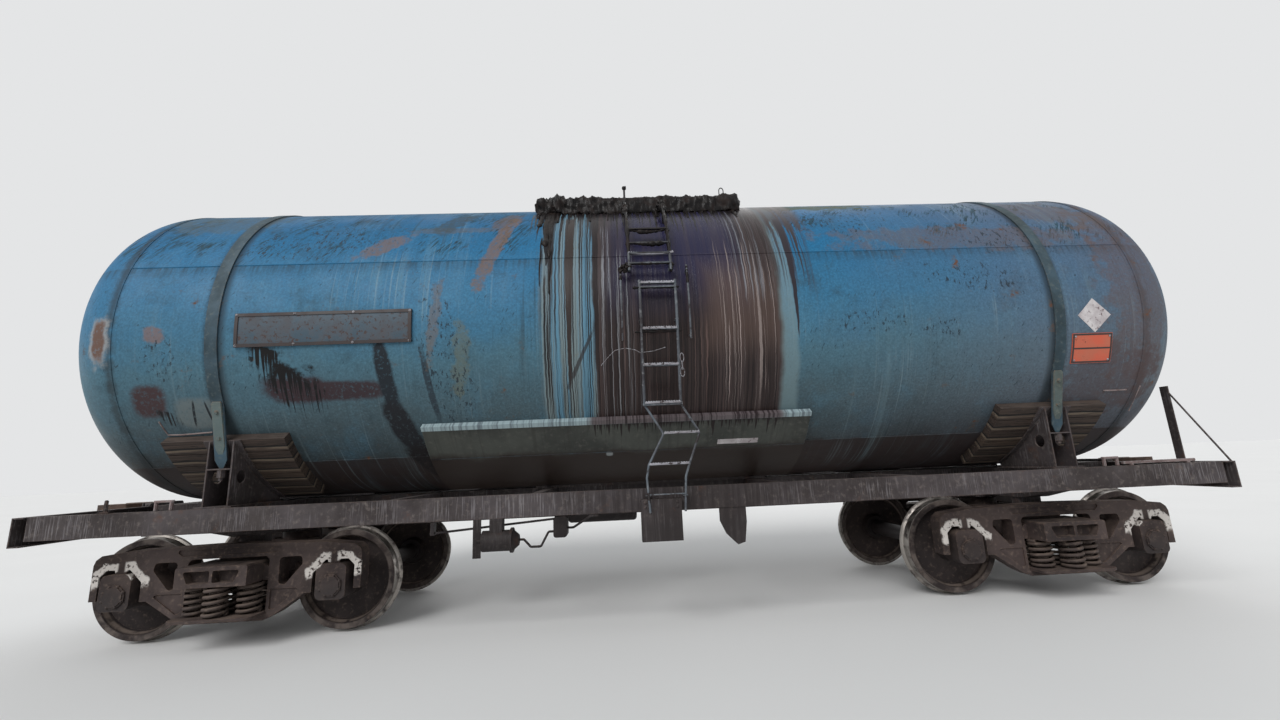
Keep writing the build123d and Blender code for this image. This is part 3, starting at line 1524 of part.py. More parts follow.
# Pointed brackets that hang below the side sills
with BuildPart() as hanging_brackets:
    for side in (-1, 1):
        with BuildSketch(Plane.XZ.offset(-side * (sill_outer - 40))):
            with BuildLine():
                Polyline(
                    (-side * hanger_x - 110, sill_bottom),
                    (-side * hanger_x + 120, sill_bottom),
                    (-side * hanger_x + 120, sill_bottom - 130),
                    (-side * hanger_x + 95, sill_bottom - 300),
                    (-side * hanger_x + 30, sill_bottom - 320),
                    (-side * hanger_x - 60, sill_bottom - 230),
                    (-side * hanger_x - 110, sill_bottom - 120),
                    close=True,
                )
            make_face()
        extrude(amount=30, both=True)
export(hanging_brackets, "hanging_brackets")

# End handrail posts, one at each end, each with a slanting rod down to the corner
rail_height = sill_top + end_rail_rise
with BuildPart() as end_handrails:
    for end in (-1, 1):
        post_y = -end * end_rail_y
        corner_y = -end * (beam_half_width - 30)
        rail_x = end * (frame_half + rail_flat)
        with Locations((end * (frame_half + rail_flat / 2), post_y, (sill_bottom + rail_height) / 2)):
            Box(rail_flat, rail_width, rail_height - sill_bottom)
        with BuildLine(Plane.YZ.offset(rail_x - end * 4)) as rail_path:
            Line((post_y, rail_height - 13), (corner_y, sill_top - 18))
        rail_wire = rail_path.wires()[0]
        sweep(bar_section(rail_wire, 8), path=rail_wire)
export(end_handrails, "end_handrails")

# Uncoupling rods across the ends, from the corner to above the coupler, with their handles
with BuildPart() as uncoupling_rods:
    for end in (-1, 1):
        lever_plane = Plane.YZ.offset(end * (frame_half + lever_standoff))
        with BuildLine(lever_plane) as lever_path:
            FilletPolyline(
                (end * lever_outer, sill_bottom - 40),
                (end * lever_outer, lever_height),
                (end * lever_inner, lever_height),
                (end * lever_inner, lever_height + 60),
                radius=30,
            )
        lever_wire = lever_path.wires()[0]
        sweep(bar_section(lever_wire, 11), path=lever_wire)
        for bracket_y in (lever_outer - 120, lever_inner + 140):
            with Locations((end * (frame_half + (lever_standoff + 14) / 2), end * bracket_y, lever_height)):
                Box(lever_standoff + 14, 30, 44)
export(uncoupling_rods, "uncoupling_rods")
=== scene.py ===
# %% [markdown]
# # A railway tank car
# The car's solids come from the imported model, in metres: x runs along the car, y to its far side, z up
# from the level of the wheel flanges' lowest points. This script gives every solid its finish, and adds
# what is too fine for the solids: coil springs, weld beads, bolts, caked tar and its runs, the rims of
# the plates.

import json
import math
import random

import bmesh
import bpy
from mathutils import Matrix, Vector
from mathutils import noise as field


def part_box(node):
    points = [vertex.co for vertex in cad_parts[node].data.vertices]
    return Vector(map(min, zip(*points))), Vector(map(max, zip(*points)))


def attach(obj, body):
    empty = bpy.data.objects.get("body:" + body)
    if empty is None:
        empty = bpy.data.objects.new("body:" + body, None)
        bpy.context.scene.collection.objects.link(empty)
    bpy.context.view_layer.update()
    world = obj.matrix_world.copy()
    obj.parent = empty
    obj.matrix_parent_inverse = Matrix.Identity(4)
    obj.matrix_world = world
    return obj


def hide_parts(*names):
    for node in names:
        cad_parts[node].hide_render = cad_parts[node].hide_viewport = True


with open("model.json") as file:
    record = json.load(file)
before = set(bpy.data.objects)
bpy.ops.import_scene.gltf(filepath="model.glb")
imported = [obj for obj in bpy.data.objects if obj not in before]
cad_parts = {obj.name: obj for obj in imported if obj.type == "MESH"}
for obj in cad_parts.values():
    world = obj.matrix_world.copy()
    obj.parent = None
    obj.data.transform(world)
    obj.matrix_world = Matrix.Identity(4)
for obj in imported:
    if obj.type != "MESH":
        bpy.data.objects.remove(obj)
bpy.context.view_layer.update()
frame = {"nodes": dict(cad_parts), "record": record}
nodes = frame["nodes"]

# %% [markdown]
# The photograph was taken close to the car with a very wide lens, held a little crooked and tilted up. The
# lens, place and three angles were worked out from the round wheels and the tank's outline, so the camera
# is written as numbers. A camera looks along its own minus z, so its third column is the reversed view
# direction.

# %% Camera
LENS_FOCAL_PX = 512.4
FRAME_WIDTH_PX = 1280
YAW, PITCH, ROLL = math.radians(2.91), math.radians(11.3), math.radians(-2.56)
CAMERA_PLACE = (-0.361, -6.145, 1.435)

camera_data = bpy.data.cameras.new("camera")
camera_data.sensor_width = 36.0
camera_data.lens = LENS_FOCAL_PX / FRAME_WIDTH_PX * camera_data.sensor_width
camera_data.clip_end = 500.0
camera = bpy.data.objects.new("camera", camera_data)
bpy.context.scene.collection.objects.link(camera)
view = Vector((math.sin(YAW) * math.cos(PITCH), math.cos(YAW) * math.cos(PITCH), math.sin(PITCH)))
level_right = Vector((math.cos(YAW), -math.sin(YAW), 0.0))
level_up = level_right.cross(view)
right = level_right * math.cos(ROLL) + level_up * math.sin(ROLL)
up = -level_right * math.sin(ROLL) + level_up * math.cos(ROLL)
turn = Matrix((right, up, -view)).transposed().to_4x4()
camera.matrix_world = Matrix.Translation(CAMERA_PLACE) @ turn
bpy.context.scene.camera = camera
bpy.context.scene.view_settings.view_transform = "Standard"
print("lens mm:", round(camera_data.lens, 2))

# %% [markdown]
# Colours are easiest to judge in the values that a screen shows, 0 to 255. Blender mixes light in linear
# values, so one small helper turns the first into the second. The other helpers build node trees. They find
# the tree that they work in from the sockets they are given, so that a material reads almost like plain
# arithmetic.

# %% Helpers for colours and nodes


def rgb(red, green, blue):
    """A colour given in screen values, as Blender's linear values."""
    parts = [value / 255 for value in (red, green, blue)]
    linear = [p / 12.92 if p <= 0.04045 else ((p + 0.055) / 1.055) ** 2.4 for p in parts]
    return (*linear, 1.0)


def link(value, socket):
    """Links a node's output to an input in the same tree."""
    socket.id_data.links.new(value, socket)


def feed(made, key, value):
    """Gives a node's input a value, or links another node's output to it."""
    if isinstance(value, bpy.types.NodeSocket):
        link(value, made.inputs[key])
    else:
        made.inputs[key].default_value = value


def node(tree, kind, inputs=None, **settings):
    """Places one node; inputs gives its sockets their values or links."""
    made = tree.nodes.new("ShaderNode" + kind)
    for key, value in settings.items():
        setattr(made, key, value)
    for key, value in (inputs or {}).items():
        feed(made, key, value)
    return made


def tree_of(*values):
    """The node tree of the first socket among these values."""
    return next(value.id_data for value in values if isinstance(value, bpy.types.NodeSocket))


def calc(operation, first, second=0.0, clamp=False):
    """One step of arithmetic on sockets and numbers."""
    inputs = {0: first, 1: second}
    return node(tree_of(first, second), "Math", inputs, operation=operation, use_clamp=clamp).outputs[0]


def plus(*values):
    """The sum of sockets and numbers."""
    total = values[0]
    for value in values[1:]:
        total = calc("ADD", total, value)
    return total


def times(*values):
    """The product of sockets and numbers."""
    product = values[0]
    for value in values[1:]:
        product = calc("MULTIPLY", product, value)
    return product


def minus(first, second):
    """The difference of two sockets or numbers."""
    return calc("SUBTRACT", first, second)


def spread(value, width):
    """Turns noise from 0 to 1 into a shift to both sides of zero, as wide as that in all."""
    return times(minus(value, 0.5), width)


def blend(factor, first, second):
    """Blends two numbers."""
    return node(tree_of(factor), "Mix", {0: factor, 2: first, 3: second}).outputs[0]


def mix(factor, first, second):
    """Blends two colours."""
    return node(tree_of(factor), "Mix", {0: factor, 6: first, 7: second}, data_type="RGBA").outputs[2]


def rise(value, low, high, to_low=0.0, to_high=1.0):
    """Goes smoothly from to_low to to_high while value goes from low to high."""
    inputs = {0: value, 1: low, 2: high, 3: to_low, 4: to_high}
    return node(tree_of(value), "MapRange", inputs, interpolation_type="SMOOTHSTEP").outputs[0]


def noise(vector, scale, detail=3.0, roughness=0.55, distortion=0.0):
    """Soft random values from 0 to 1."""
    inputs = {"Vector": vector, "Scale": scale, "Detail": detail}
    inputs |= {"Roughness": roughness, "Distortion": distortion}
    return node(tree_of(vector), "TexNoise", inputs).outputs[0]


def axes(vector):
    """The X, Y and Z of a vector socket."""
    return node(tree_of(vector), "SeparateXYZ", {0: vector}).outputs


def effect(title, gives, **takes):
    """An empty node group: its tree, the sockets of what it takes and those of what it gives.

    None stands for a vector, and a name has _ where the socket's name has a space.
    """
    tree = bpy.data.node_groups.new(title, "ShaderNodeTree")
    for name, value in takes.items():
        kind = "NodeSocketVector" if value is None else "NodeSocketFloat"
        socket = tree.interface.new_socket(name.replace("_", " "), in_out="INPUT", socket_type=kind)
        if value is not None:
            socket.default_value = value
    for name in gives:
        tree.interface.new_socket(name, in_out="OUTPUT", socket_type="NodeSocketFloat")
    print("group:", title)
    return tree, tree.nodes.new("NodeGroupInput").outputs, tree.nodes.new("NodeGroupOutput").inputs


def use(group, **values):
    """Places a node group with its own values, named as in effect."""
    made = tree_of(*values.values()).nodes.new("ShaderNodeGroup")
    made.node_tree = group
    for key, value in values.items():
        feed(made, key.replace("_", " "), value)
    return made.outputs


# %% [markdown]
# The floor is a plain pale sheet at the level of the wheel flanges. The light is a soft even sky with two
# broad lamps, bright enough for a colour to show about as it is written and no brighter. The pale
# background is not made by light on the car: it is what camera and mirror rays see of the world, through
# Light Path.

# %% Studio
FLOOR_RADIUS = 220.0


def new_material(name):
    """A new material, its shader, and the point that it colours, in metres."""
    material = bpy.data.materials.new(name)
    material.use_nodes = True
    tree = material.node_tree
    return material, tree.nodes["Principled BSDF"], node(tree, "TexCoord").outputs["Object"]


floor_material, floor_shader, floor_place = new_material("floor")
floor_shader.inputs["Roughness"].default_value = 0.9
floor_tone = mix(noise(floor_place, 0.35, 2.0), rgb(224, 224, 223), rgb(230, 230, 229))
link(floor_tone, floor_shader.inputs["Base Color"])
floor_mesh = bpy.data.meshes.new("floor")
floor_form = bmesh.new()
bmesh.ops.create_circle(floor_form, cap_ends=True, radius=FLOOR_RADIUS, segments=96)
floor_form.to_mesh(floor_mesh)
floor_form.free()
floor_mesh.materials.append(floor_material)
floor = bpy.data.objects.new("floor", floor_mesh)
bpy.context.scene.collection.objects.link(floor)

world = bpy.data.worlds.new("studio")
bpy.context.scene.world = world
world.use_nodes = True
sky_tree = world.node_tree
sky_tree.nodes.clear()
seen = node(sky_tree, "LightPath").outputs
seen_rays = plus(seen["Is Camera Ray"], seen["Is Glossy Ray"])
seen_rays = calc("ADD", seen_rays, seen["Is Transmission Ray"], clamp=True)
even_sky = node(sky_tree, "Background", {"Color": (0.96, 0.98, 1.0, 1.0), "Strength": 0.5})
pale_wall = node(sky_tree, "Background", {"Color": rgb(228, 229, 230), "Strength": 1.0})
sky = node(sky_tree, "MixShader", {0: seen_rays, 1: even_sky.outputs[0], 2: pale_wall.outputs[0]})
link(sky.outputs[0], sky_tree.nodes.new("ShaderNodeOutputWorld").inputs["Surface"])

# name, strength, how broad in degrees, tilt from straight down, turn about z
LAMPS = [
    ("key_lamp", 2.0, 35.0, 52.0, -32.0),
    ("fill_lamp", 0.7, 60.0, 60.0, 150.0),
]
for name, strength, broad, tilt, about in LAMPS:
    lamp_data = bpy.data.lights.new(name, "SUN")
    lamp_data.energy = strength
    lamp_data.angle = math.radians(broad)
    lamp = bpy.data.objects.new(name, lamp_data)
    lamp.rotation_euler = (math.radians(tilt), 0.0, math.radians(about))
    bpy.context.scene.collection.objects.link(lamp)
print("lamps:", len(LAMPS))

# %% [markdown]
# Paint, tar and dirt on a lying tank all follow two directions: along the car, and down its round side. A
# node group turns a point into those two, so that stains can be placed by metres along and degrees above or
# below the tank's axis. On the round ends x hardly changes, so there "along" goes on as the turn about an
# upright line just inside the end, from the near side round to the far side, as on a globe: runs still go
# down. The change from one to the other is hidden under the girth weld. The degrees come from the height
# alone there, so dirt lies level.

# %% Where a point is on the tank
TANK_AXIS = 2.841
TANK_RADIUS = 1.61
GIRTH_WELD = 4.77
POLE_PLACE = 4.6
place_on_tank, given, gives = effect("place on the tank", ["Along", "Degrees", "Down"], Point=None)
point = axes(given["Point"])
above_axis = minus(point["Z"], TANK_AXIS)
from_middle = calc("ABSOLUTE", point["X"])
on_end = rise(from_middle, GIRTH_WELD - 0.002, GIRTH_WELD + 0.002)
side_angle = calc("ARCTAN2", above_axis, calc("ABSOLUTE", point["Y"]))
end_angle = calc("ARCSINE", calc("DIVIDE", above_axis, TANK_RADIUS + 0.001))
degrees = times(blend(on_end, side_angle, end_angle), 180 / math.pi)
from_near = calc("ARCTAN2", minus(from_middle, POLE_PLACE), times(point["Y"], -1.0))
end_along = times(plus(times(from_near, TANK_RADIUS), POLE_PLACE), calc("SIGN", point["X"]))
link(blend(on_end, point["X"], end_along), gives["Along"])
link(degrees, gives["Degrees"])
arc = times(minus(90.0, degrees), TANK_RADIUS * math.pi / 180)
drop = minus(TANK_AXIS + TANK_RADIUS, point["Z"])
link(blend(on_end, arc, drop), gives["Down"])

# %% [markdown]
# Rain and spilled oil run down in thin lines. Stretched noise gives them: many changes along the car, few
# on the way down. The same group makes pale washed lines and dark ones, with other values.

# %% Runs
runs, given, gives = effect("runs", ["Mask"], Along=0.0, Down=0.0, Per_Metre=20.0, Stretch=0.3, Seed=0.0,
                            From=0.5, To=0.6)
across = times(given["Along"], given["Per Metre"])
lengthwise = times(given["Down"], given["Stretch"])
stretched = node(runs, "CombineXYZ", {0: across, 1: lengthwise, 2: given["Seed"]}).outputs[0]
link(rise(noise(stretched, 1.0, 4.0, 0.6), given["From"], given["To"]), gives["Mask"])


def lines_down(along, down, per_metre, stretch, seed, start, stop):
    """Lines down the side, that many per metre along, where their noise is past start, full past stop."""
    made = use(runs, Along=along, Down=down, Per_Metre=per_metre, Stretch=stretch, Seed=seed, From=start,
               To=stop)
    return made["Mask"]


# %% [markdown]
# A spill ends in fingers: each place along the edge runs down its own distance. This group gives 1 above
# such an edge and 0 below it. Its reach is noise that changes only along the car, so every finger is
# upright.

# %% Drip front
drip_front, given, gives = effect("drip front", ["Mask"], Along=0.0, Degrees=0.0, Start=50.0, Longest=40.0,
                                  Per_Metre=12.0, Seed=0.0)
across = times(given["Along"], given["Per Metre"])
sideways = node(drip_front, "CombineXYZ", {0: across, 1: given["Seed"], 2: 0.0}).outputs[0]
reach = calc("POWER", rise(noise(sideways, 1.0, 3.0, 0.6), 0.34, 0.7), 1.6)
edge = minus(given["Start"], times(reach, given["Longest"]))
link(rise(minus(given["Degrees"], edge), -0.6, 0.9), gives["Mask"])


def fingers(along, degrees, start, longest, per_metre, seed):
    """A spill from start degrees down, with fingers no longer than that many degrees."""
    made = use(drip_front, Along=along, Degrees=degrees, Start=start, Longest=longest, Per_Metre=per_metre,
               Seed=seed)
    return made["Mask"]


# %% [markdown]
# A stain with a place of its own is an oval in metres along and degrees, made ragged by noise. Slant leans
# it, because wind and a wiping hand do not work straight down.

# %% Patch
patch, given, gives = effect("patch", ["Mask"], Along=0.0, Degrees=0.0, Noise=0.5, Centre_Along=0.0,
                             Centre_Degrees=0.0, Half_Length=0.2, Half_Degrees=5.0, Slant=0.0, Ragged=1.0)
lower = minus(given["Degrees"], given["Centre Degrees"])
beside = minus(minus(given["Along"], given["Centre Along"]), times(lower, given["Slant"]))
cubes = []
for part, half in ((beside, given["Half Length"]), (lower, given["Half Degrees"])):
    cubes.append(calc("POWER", calc("ABSOLUTE", calc("DIVIDE", part, half)), 3.0))
distance = plus(calc("POWER", plus(*cubes), 1 / 3), spread(given["Noise"], given["Ragged"]))
link(rise(distance, 1.16, 0.72), gives["Mask"])


def oval(spot, uneven, along, height, half_length, half_degrees, slant=0.0, raggedness=1.0):
    """A stain on the tank at that place; uneven is the noise that eats its border."""
    made = use(patch, Along=spot["Along"], Degrees=spot["Degrees"], Noise=uneven, Centre_Along=along,
               Centre_Degrees=height, Half_Length=half_length, Half_Degrees=half_degrees, Slant=slant,
               Ragged=raggedness)
    return made["Mask"]


# %% [markdown]
# Edges of worn steel shine or rust first, because hands, chains and stones meet them. The Bevel node gives
# the normal that a rounded edge would have; where it leaves the real normal, an edge is near. Noise breaks
# the line.

# %% Edge wear
edge_wear, given, gives = effect("edge wear", ["Mask"], Point=None, Radius=0.006, Breaks=30.0)
rounded = node(edge_wear, "Bevel", {"Radius": given["Radius"]}, samples=3).outputs[0]
true_normal = node(edge_wear, "NewGeometry").outputs["Normal"]
facing = node(edge_wear, "VectorMath", {0: rounded, 1: true_normal}, operation="DOT_PRODUCT").outputs["Value"]
broken = rise(noise(given["Point"], given["Breaks"], 3.0), 0.42, 0.58)
link(times(rise(facing, 0.995, 0.9), broken), gives["Mask"])

# %% [markdown]
# Dust settles on what faces up and stays in uneven patches. The group compares the surface normal with
# straight up, and lets noise eat holes in the dust.

# %% Dust
dust, given, gives = effect("dust", ["Mask"], Point=None, Amount=1.0)
facing_up = axes(node(dust, "NewGeometry").outputs["Normal"])["Z"]
lying = rise(facing_up, -0.2, 0.9, 0.12, 1.0)
uneven = rise(noise(given["Point"], 5.0, 5.0, 0.65), 0.3, 0.7)
link(calc("MULTIPLY", times(lying, uneven), given["Amount"], clamp=True), gives["Mask"])

# %% [markdown]
# Sand-cast steel has a skin of small grains and a few pits; rolled plate under old paint has blisters. One
# group gives both as a height for a Bump node: fine noise less the pits of a Voronoi pattern.

# %% Grain
grain, given, gives = effect("grain", ["Height"], Point=None, Per_Metre=90.0, Pits=0.4)
surface = noise(given["Point"], given["Per Metre"], 5.0, 0.65)
cells = node(grain, "TexVoronoi", {"Vector": given["Point"], "Scale": given["Per Metre"]}).outputs["Distance"]
link(minus(surface, times(rise(cells, 0.28, 0.1), given["Pits"])), gives["Height"])

# %% [markdown]
# Most of the car is one kind of thing: dark steel with blotches, dust, worn edges and a grain. A function
# builds such a material from a row of a table. A second one lays a further coat over whatever already feeds
# the shader, so that tar, chalk or rust can be added in the order in which they came onto the real car. The
# table also holds the jacket's sheet and the steels of small fittings, which get their further coats below.

# %% Worn steel


def layer(shader, mask, colour, roughness=None):
    """Lays a colour, and a roughness, over what feeds the shader now, where mask is 1."""
    target = shader.inputs["Base Color"]
    link(mix(mask, target.links[0].from_socket, colour), target)
    if roughness is not None:
        target = shader.inputs["Roughness"]
        link(blend(mask, target.links[0].from_socket, roughness), target)


def relief(shader, height, strength, distance):
    """Lets a height of at most distance metres shape the light on the surface."""
    inputs = {"Height": height, "Strength": strength, "Distance": distance}
    link(node(shader.id_data, "Bump", inputs).outputs[0], shader.inputs["Normal"])


def worn_steel(name, main, deep, dusty, bare, rough, grains, depth, dusting):
    """A material for one kind of worn steel. Returns the material, its shader and its point."""
    material, shader, point = new_material(name)
    main, deep, dusty, bare = [rgb(*colour) for colour in (main, deep, dusty, bare)]
    shader.inputs["Specular IOR Level"].default_value = 0.3
    blotches = rise(noise(point, 1.7, 6.0, 0.62), 0.36, 0.64)
    mottle = rise(noise(point, 23.0, 4.0, 0.6), 0.5, 0.85)
    link(mix(mottle, mix(blotches, main, deep), dusty), shader.inputs["Base Color"])
    link(rise(blotches, 0.0, 1.0, rough - 0.1, rough + 0.12), shader.inputs["Roughness"])
    layer(shader, use(dust, Point=point, Amount=dusting)["Mask"], dusty, 0.85)
    layer(shader, use(edge_wear, Point=point)["Mask"], bare, rough - 0.08)
    relief(shader, use(grain, Point=point, Per_Metre=grains)["Height"], 0.55, depth)
    return material, shader, point


# name, main, deep, dusty and bare colours, roughness, grains per metre, their depth, dusting
STEELS = [
    ("frame_steel", (66, 60, 62), (46, 40, 40), (104, 96, 92), (96, 74, 62), 0.66, 120.0, 0.0012, 0.8),
    ("bogie_cast", (68, 57, 55), (44, 37, 37), (108, 93, 84), (104, 84, 72), 0.74, 95.0, 0.0022, 0.9),
    ("spring_steel", (74, 63, 59), (50, 42, 40), (112, 98, 88), (112, 92, 80), 0.68, 150.0, 0.0009, 0.8),
    ("coupler_cast", (82, 62, 52), (52, 42, 38), (112, 94, 80), (124, 92, 70), 0.72, 95.0, 0.002, 0.7),
    ("valve_steel", (44, 38, 38), (26, 23, 24), (84, 74, 68), (88, 70, 60), 0.55, 80.0, 0.0025, 0.6),
    ("strap_steel", (56, 80, 94), (40, 54, 60), (88, 98, 98), (84, 70, 62), 0.62, 110.0, 0.0012, 0.5),
    ("ladder_steel", (88, 96, 104), (52, 50, 54), (132, 134, 136), (150, 152, 154), 0.5, 130.0, 0.001, 0.4),
    ("wheel_steel", (54, 45, 43), (38, 32, 32), (92, 79, 72), (84, 72, 66), 0.7, 110.0, 0.0012, 0.0),
    ("jacket_sheet", (74, 77, 72), (58, 60, 57), (90, 90, 84), (120, 134, 138), 0.5, 90.0, 0.0008, 0.3),
    ("tread_steel", (146, 146, 154), (112, 106, 108), (166, 164, 168), (176, 178, 184), 0.5, 120.0, 0.0009,
     0.3),
    ("clamp_steel", (84, 98, 98), (62, 70, 68), (112, 116, 106), (120, 96, 78), 0.7, 100.0, 0.0012, 0.8),
    ("worn_fitting", (128, 110, 108), (84, 68, 66), (150, 140, 136), (150, 146, 146), 0.65, 110.0, 0.001,
     0.5),
]
finishes = {}
for row in STEELS:
    finishes[row[0]] = worn_steel(*row)
print("steels:", ", ".join(finishes))

# %% [markdown]
# The sills carry pale lines where rain has washed lime and dust down them, and under the manhole oil has
# blackened them. The ladder was climbed with tarry boots, so its upper part is nearly black. The treads are
# spotted with the same tar. These are further coats over the plain steels.

# %% Washed sills, the tarry ladder and its treads
TAR_BROWN = rgb(34, 29, 29)
_, shader, point = finishes["frame_steel"]
place = axes(point)
wash_place = plus(place["X"], times(place["Y"], 0.7))
wash = lines_down(wash_place, place["Z"], 95.0, 4.0, 0.0, 0.52, 0.64)
wash_zone = rise(noise(point, 1.3, 5.0, 0.65), 0.4, 0.62)
layer(shader, times(wash, wash_zone, 0.5), rgb(134, 130, 132), 0.8)
in_middle = plus(calc("ABSOLUTE", minus(place["X"], 0.35)), times(noise(point, 2.6, 5.0, 0.65), 1.4))
oil_down = lines_down(wash_place, place["Z"], 22.0, 0.8, 3.0, 0.36, 0.6)
oily_middle = times(rise(in_middle, 2.3, 1.2), rise(oil_down, 0.0, 1.0, 0.35, 0.9))
layer(shader, oily_middle, rgb(36, 29, 29), 0.5)
hung_low = times(rise(place["Z"], 1.0, 0.86), rise(in_middle, 4.5, 3.0))
layer(shader, times(hung_low, 0.6), TAR_BROWN, 0.6)
rusty = rise(noise(point, 3.1, 5.0, 0.7), 0.6, 0.74)
layer(shader, times(rusty, 0.5), rgb(92, 62, 46), 0.85)

_, shader, point = finishes["ladder_steel"]
tarry = plus(axes(point)["Z"], times(noise(point, 6.0, 4.0), 1.6))
layer(shader, rise(tarry, 3.7, 4.5), rgb(30, 25, 26), 0.45)
layer(shader, rise(noise(point, 9.0, 4.0, 0.6), 0.56, 0.66), rgb(40, 34, 34), 0.5)

_, shader, point = finishes["tread_steel"]
layer(shader, rise(noise(point, 26.0, 5.0, 0.7), 0.54, 0.6), rgb(52, 44, 44), 0.5)
print("coats added")

# %% [markdown]
# The wheels are dark, dusty discs with a ring of bare steel where they run on the rail and where the brake
# blocks rub. The rings are found by the distance from the axle. The axles stand at the same two distances
# from the car's middle on either side, so the smaller of two distances in x serves all wheels with one
# material.

# %% Wheel steel
AXLE_PLACES = (2.975, 4.825)
AXLE_HEIGHT = 0.479
TREAD_START = 0.444
_, shader, point = finishes["wheel_steel"]
place = axes(point)
from_middle = calc("ABSOLUTE", place["X"])
inner_axle, outer_axle = [calc("ABSOLUTE", minus(from_middle, axle)) for axle in AXLE_PLACES]
sideways = calc("MINIMUM", inner_axle, outer_axle)
upright = minus(place["Z"], AXLE_HEIGHT)
radius = calc("SQRT", plus(calc("POWER", sideways, 2.0), calc("POWER", upright, 2.0)))
smudge = rise(noise(point, 11.0, 4.0), 0.3, 0.55)
polished = times(rise(radius, TREAD_START, TREAD_START + 0.005), smudge)
layer(shader, polished, rgb(158, 152, 146), 0.34)
link(polished, shader.inputs["Metallic"])
inner_ring = times(rise(radius, 0.372, 0.378), rise(radius, 0.392, 0.384))
layer(shader, times(inner_ring, smudge), rgb(112, 100, 92), 0.6)
rim_side = times(rise(radius, 0.396, 0.402), rise(radius, 0.446, 0.44))
rim_worn = times(rim_side, rise(noise(point, 7.0, 4.0), 0.4, 0.62))
layer(shader, times(rim_worn, 0.7), rgb(104, 94, 88), 0.55)
layer(shader, rise(radius, 0.2, 0.1), TAR_BROWN, 0.5)
print("tread ring from", TREAD_START, "m")

# %% [markdown]
# On the side frames somebody has limed the top of each jaw, a pale broken band that follows the opening
# over the axle box, with a bare gap at the middle. The opening's upper corners are cut off at a slant, more
# on the side of the bogie's middle. The distance past its edge is the largest of three: past its side, past
# its top and past the slant. The band is only on the frame's outer face.

# %% Limed jaws
BOGIE_MIDDLE = 3.9
JAW_HALF, JAW_TOP, INNER_CUT, OUTER_CUT = 0.185, 0.695, 0.112, 0.056
_, shader, point = finishes["bogie_cast"]
place = axes(point)
from_middle = calc("ABSOLUTE", place["X"])
inner_axle = minus(from_middle, AXLE_PLACES[0])
outer_axle = minus(AXLE_PLACES[1], from_middle)
past_bogie = rise(from_middle, BOGIE_MIDDLE - 0.01, BOGIE_MIDDLE + 0.01)
towards_bogie = blend(past_bogie, inner_axle, outer_axle)
beside = calc("ABSOLUTE", towards_bogie)
cut = rise(towards_bogie, -0.01, 0.01, OUTER_CUT, INNER_CUT)
past_side = minus(beside, JAW_HALF)
past_top = minus(place["Z"], JAW_TOP)
past_slant = times(plus(past_side, past_top, cut), 0.707)
past_jaw = calc("MAXIMUM", calc("MAXIMUM", past_side, past_top), past_slant)
wobble = spread(noise(point, 14.0, 5.0, 0.6), 0.075)
band = plus(past_jaw, wobble)
limed = times(
    rise(band, -0.02, -0.008),
    rise(band, 0.07, 0.052),
    rise(plus(place["Z"], times(wobble, 1.5)), 0.53, 0.57),
    rise(beside, 0.02, 0.04),
    rise(calc("ABSOLUTE", place["Y"]), 1.075, 1.085),
    rise(noise(point, 36.0, 4.0), 0.34, 0.46),
)
layer(shader, limed, rgb(206, 200, 194), 0.9)
oily = times(rise(beside, 0.24, 0.1), rise(place["Z"], 0.62, 0.4))
layer(shader, times(oily, 0.6), rgb(33, 29, 30), 0.5)
print("lime band over", JAW_TOP, "m")

# %% [markdown]
# Spilled oil also leaves single runs that narrow to a point. A strip is the other simple shape: a belt
# between two places along the car and two heights, with soft borders. Both take the same two directions as
# the groups above.

# %% Pointed runs and strips
pointed_run, given, gives = effect("pointed run", ["Mask"], Along=0.0, Degrees=0.0, Centre=0.0,
                                   Half_Width=0.05, Top=40.0, Tip=0.0)
whole = minus(given["Top"], given["Tip"])
left_over = calc("DIVIDE", minus(given["Degrees"], given["Tip"]), whole, clamp=True)
width = times(calc("POWER", left_over, 0.55), given["Half Width"])
beside = calc("ABSOLUTE", minus(given["Along"], given["Centre"]))
below_top = rise(minus(given["Degrees"], given["Top"]), 1.5, -1.5)
link(times(rise(minus(width, beside), 0.0, 0.007), below_top), gives["Mask"])

strip, given, gives = effect("strip", ["Mask"], Along=0.0, Degrees=0.0, Left=0.0, Right=1.0, Top=90.0,
                             Bottom=-90.0, Soft=0.03, Soft_Degrees=2.0)
soft = calc("MAXIMUM", given["Soft"], 0.001)
inside = []
for more, less in (("Along", "Left"), ("Right", "Along"), ("Top", "Degrees"), ("Degrees", "Bottom")):
    fade = soft if "Along" in (more, less) else given["Soft Degrees"]
    inside.append(calc("DIVIDE", minus(given[more], given[less]), fade))
nearest = calc("MINIMUM", calc("MINIMUM", inside[0], inside[1]), calc("MINIMUM", inside[2], inside[3]))
link(rise(nearest, -1.0, 1.0), gives["Mask"])

# %% [markdown]
# The tank's paint was one blue coat. Sun has kept it blue on the upper side, dust has turned the middle
# grey-green, and splashed oil has browned the belly. A colour ramp over the degrees gives that. Clouds of
# noise move its borders, bleach it in places and leave a fine grain, because no square metre of the real
# paint is even.

# %% Tank paint
BELLY_WELD = -51.3
finishes["tank_paint"] = new_material("tank_paint")
_, shader, point = finishes["tank_paint"]
shader.inputs["Specular IOR Level"].default_value = 0.2
spot = use(place_on_tank, Point=point)
clouds = noise(point, 0.9, 6.0, 0.6)
ragged = noise(point, 7.0, 6.0, 0.66)
fine = noise(point, 52.0, 5.0, 0.62)
shade = plus(spot["Degrees"], spread(clouds, 26.0), spread(ragged, 12.0))
shade = node(shader.id_data, "MapRange", {0: shade, 1: -90.0, 2: 90.0}).outputs[0]
ramp = node(shader.id_data, "ValToRGB", {0: shade})
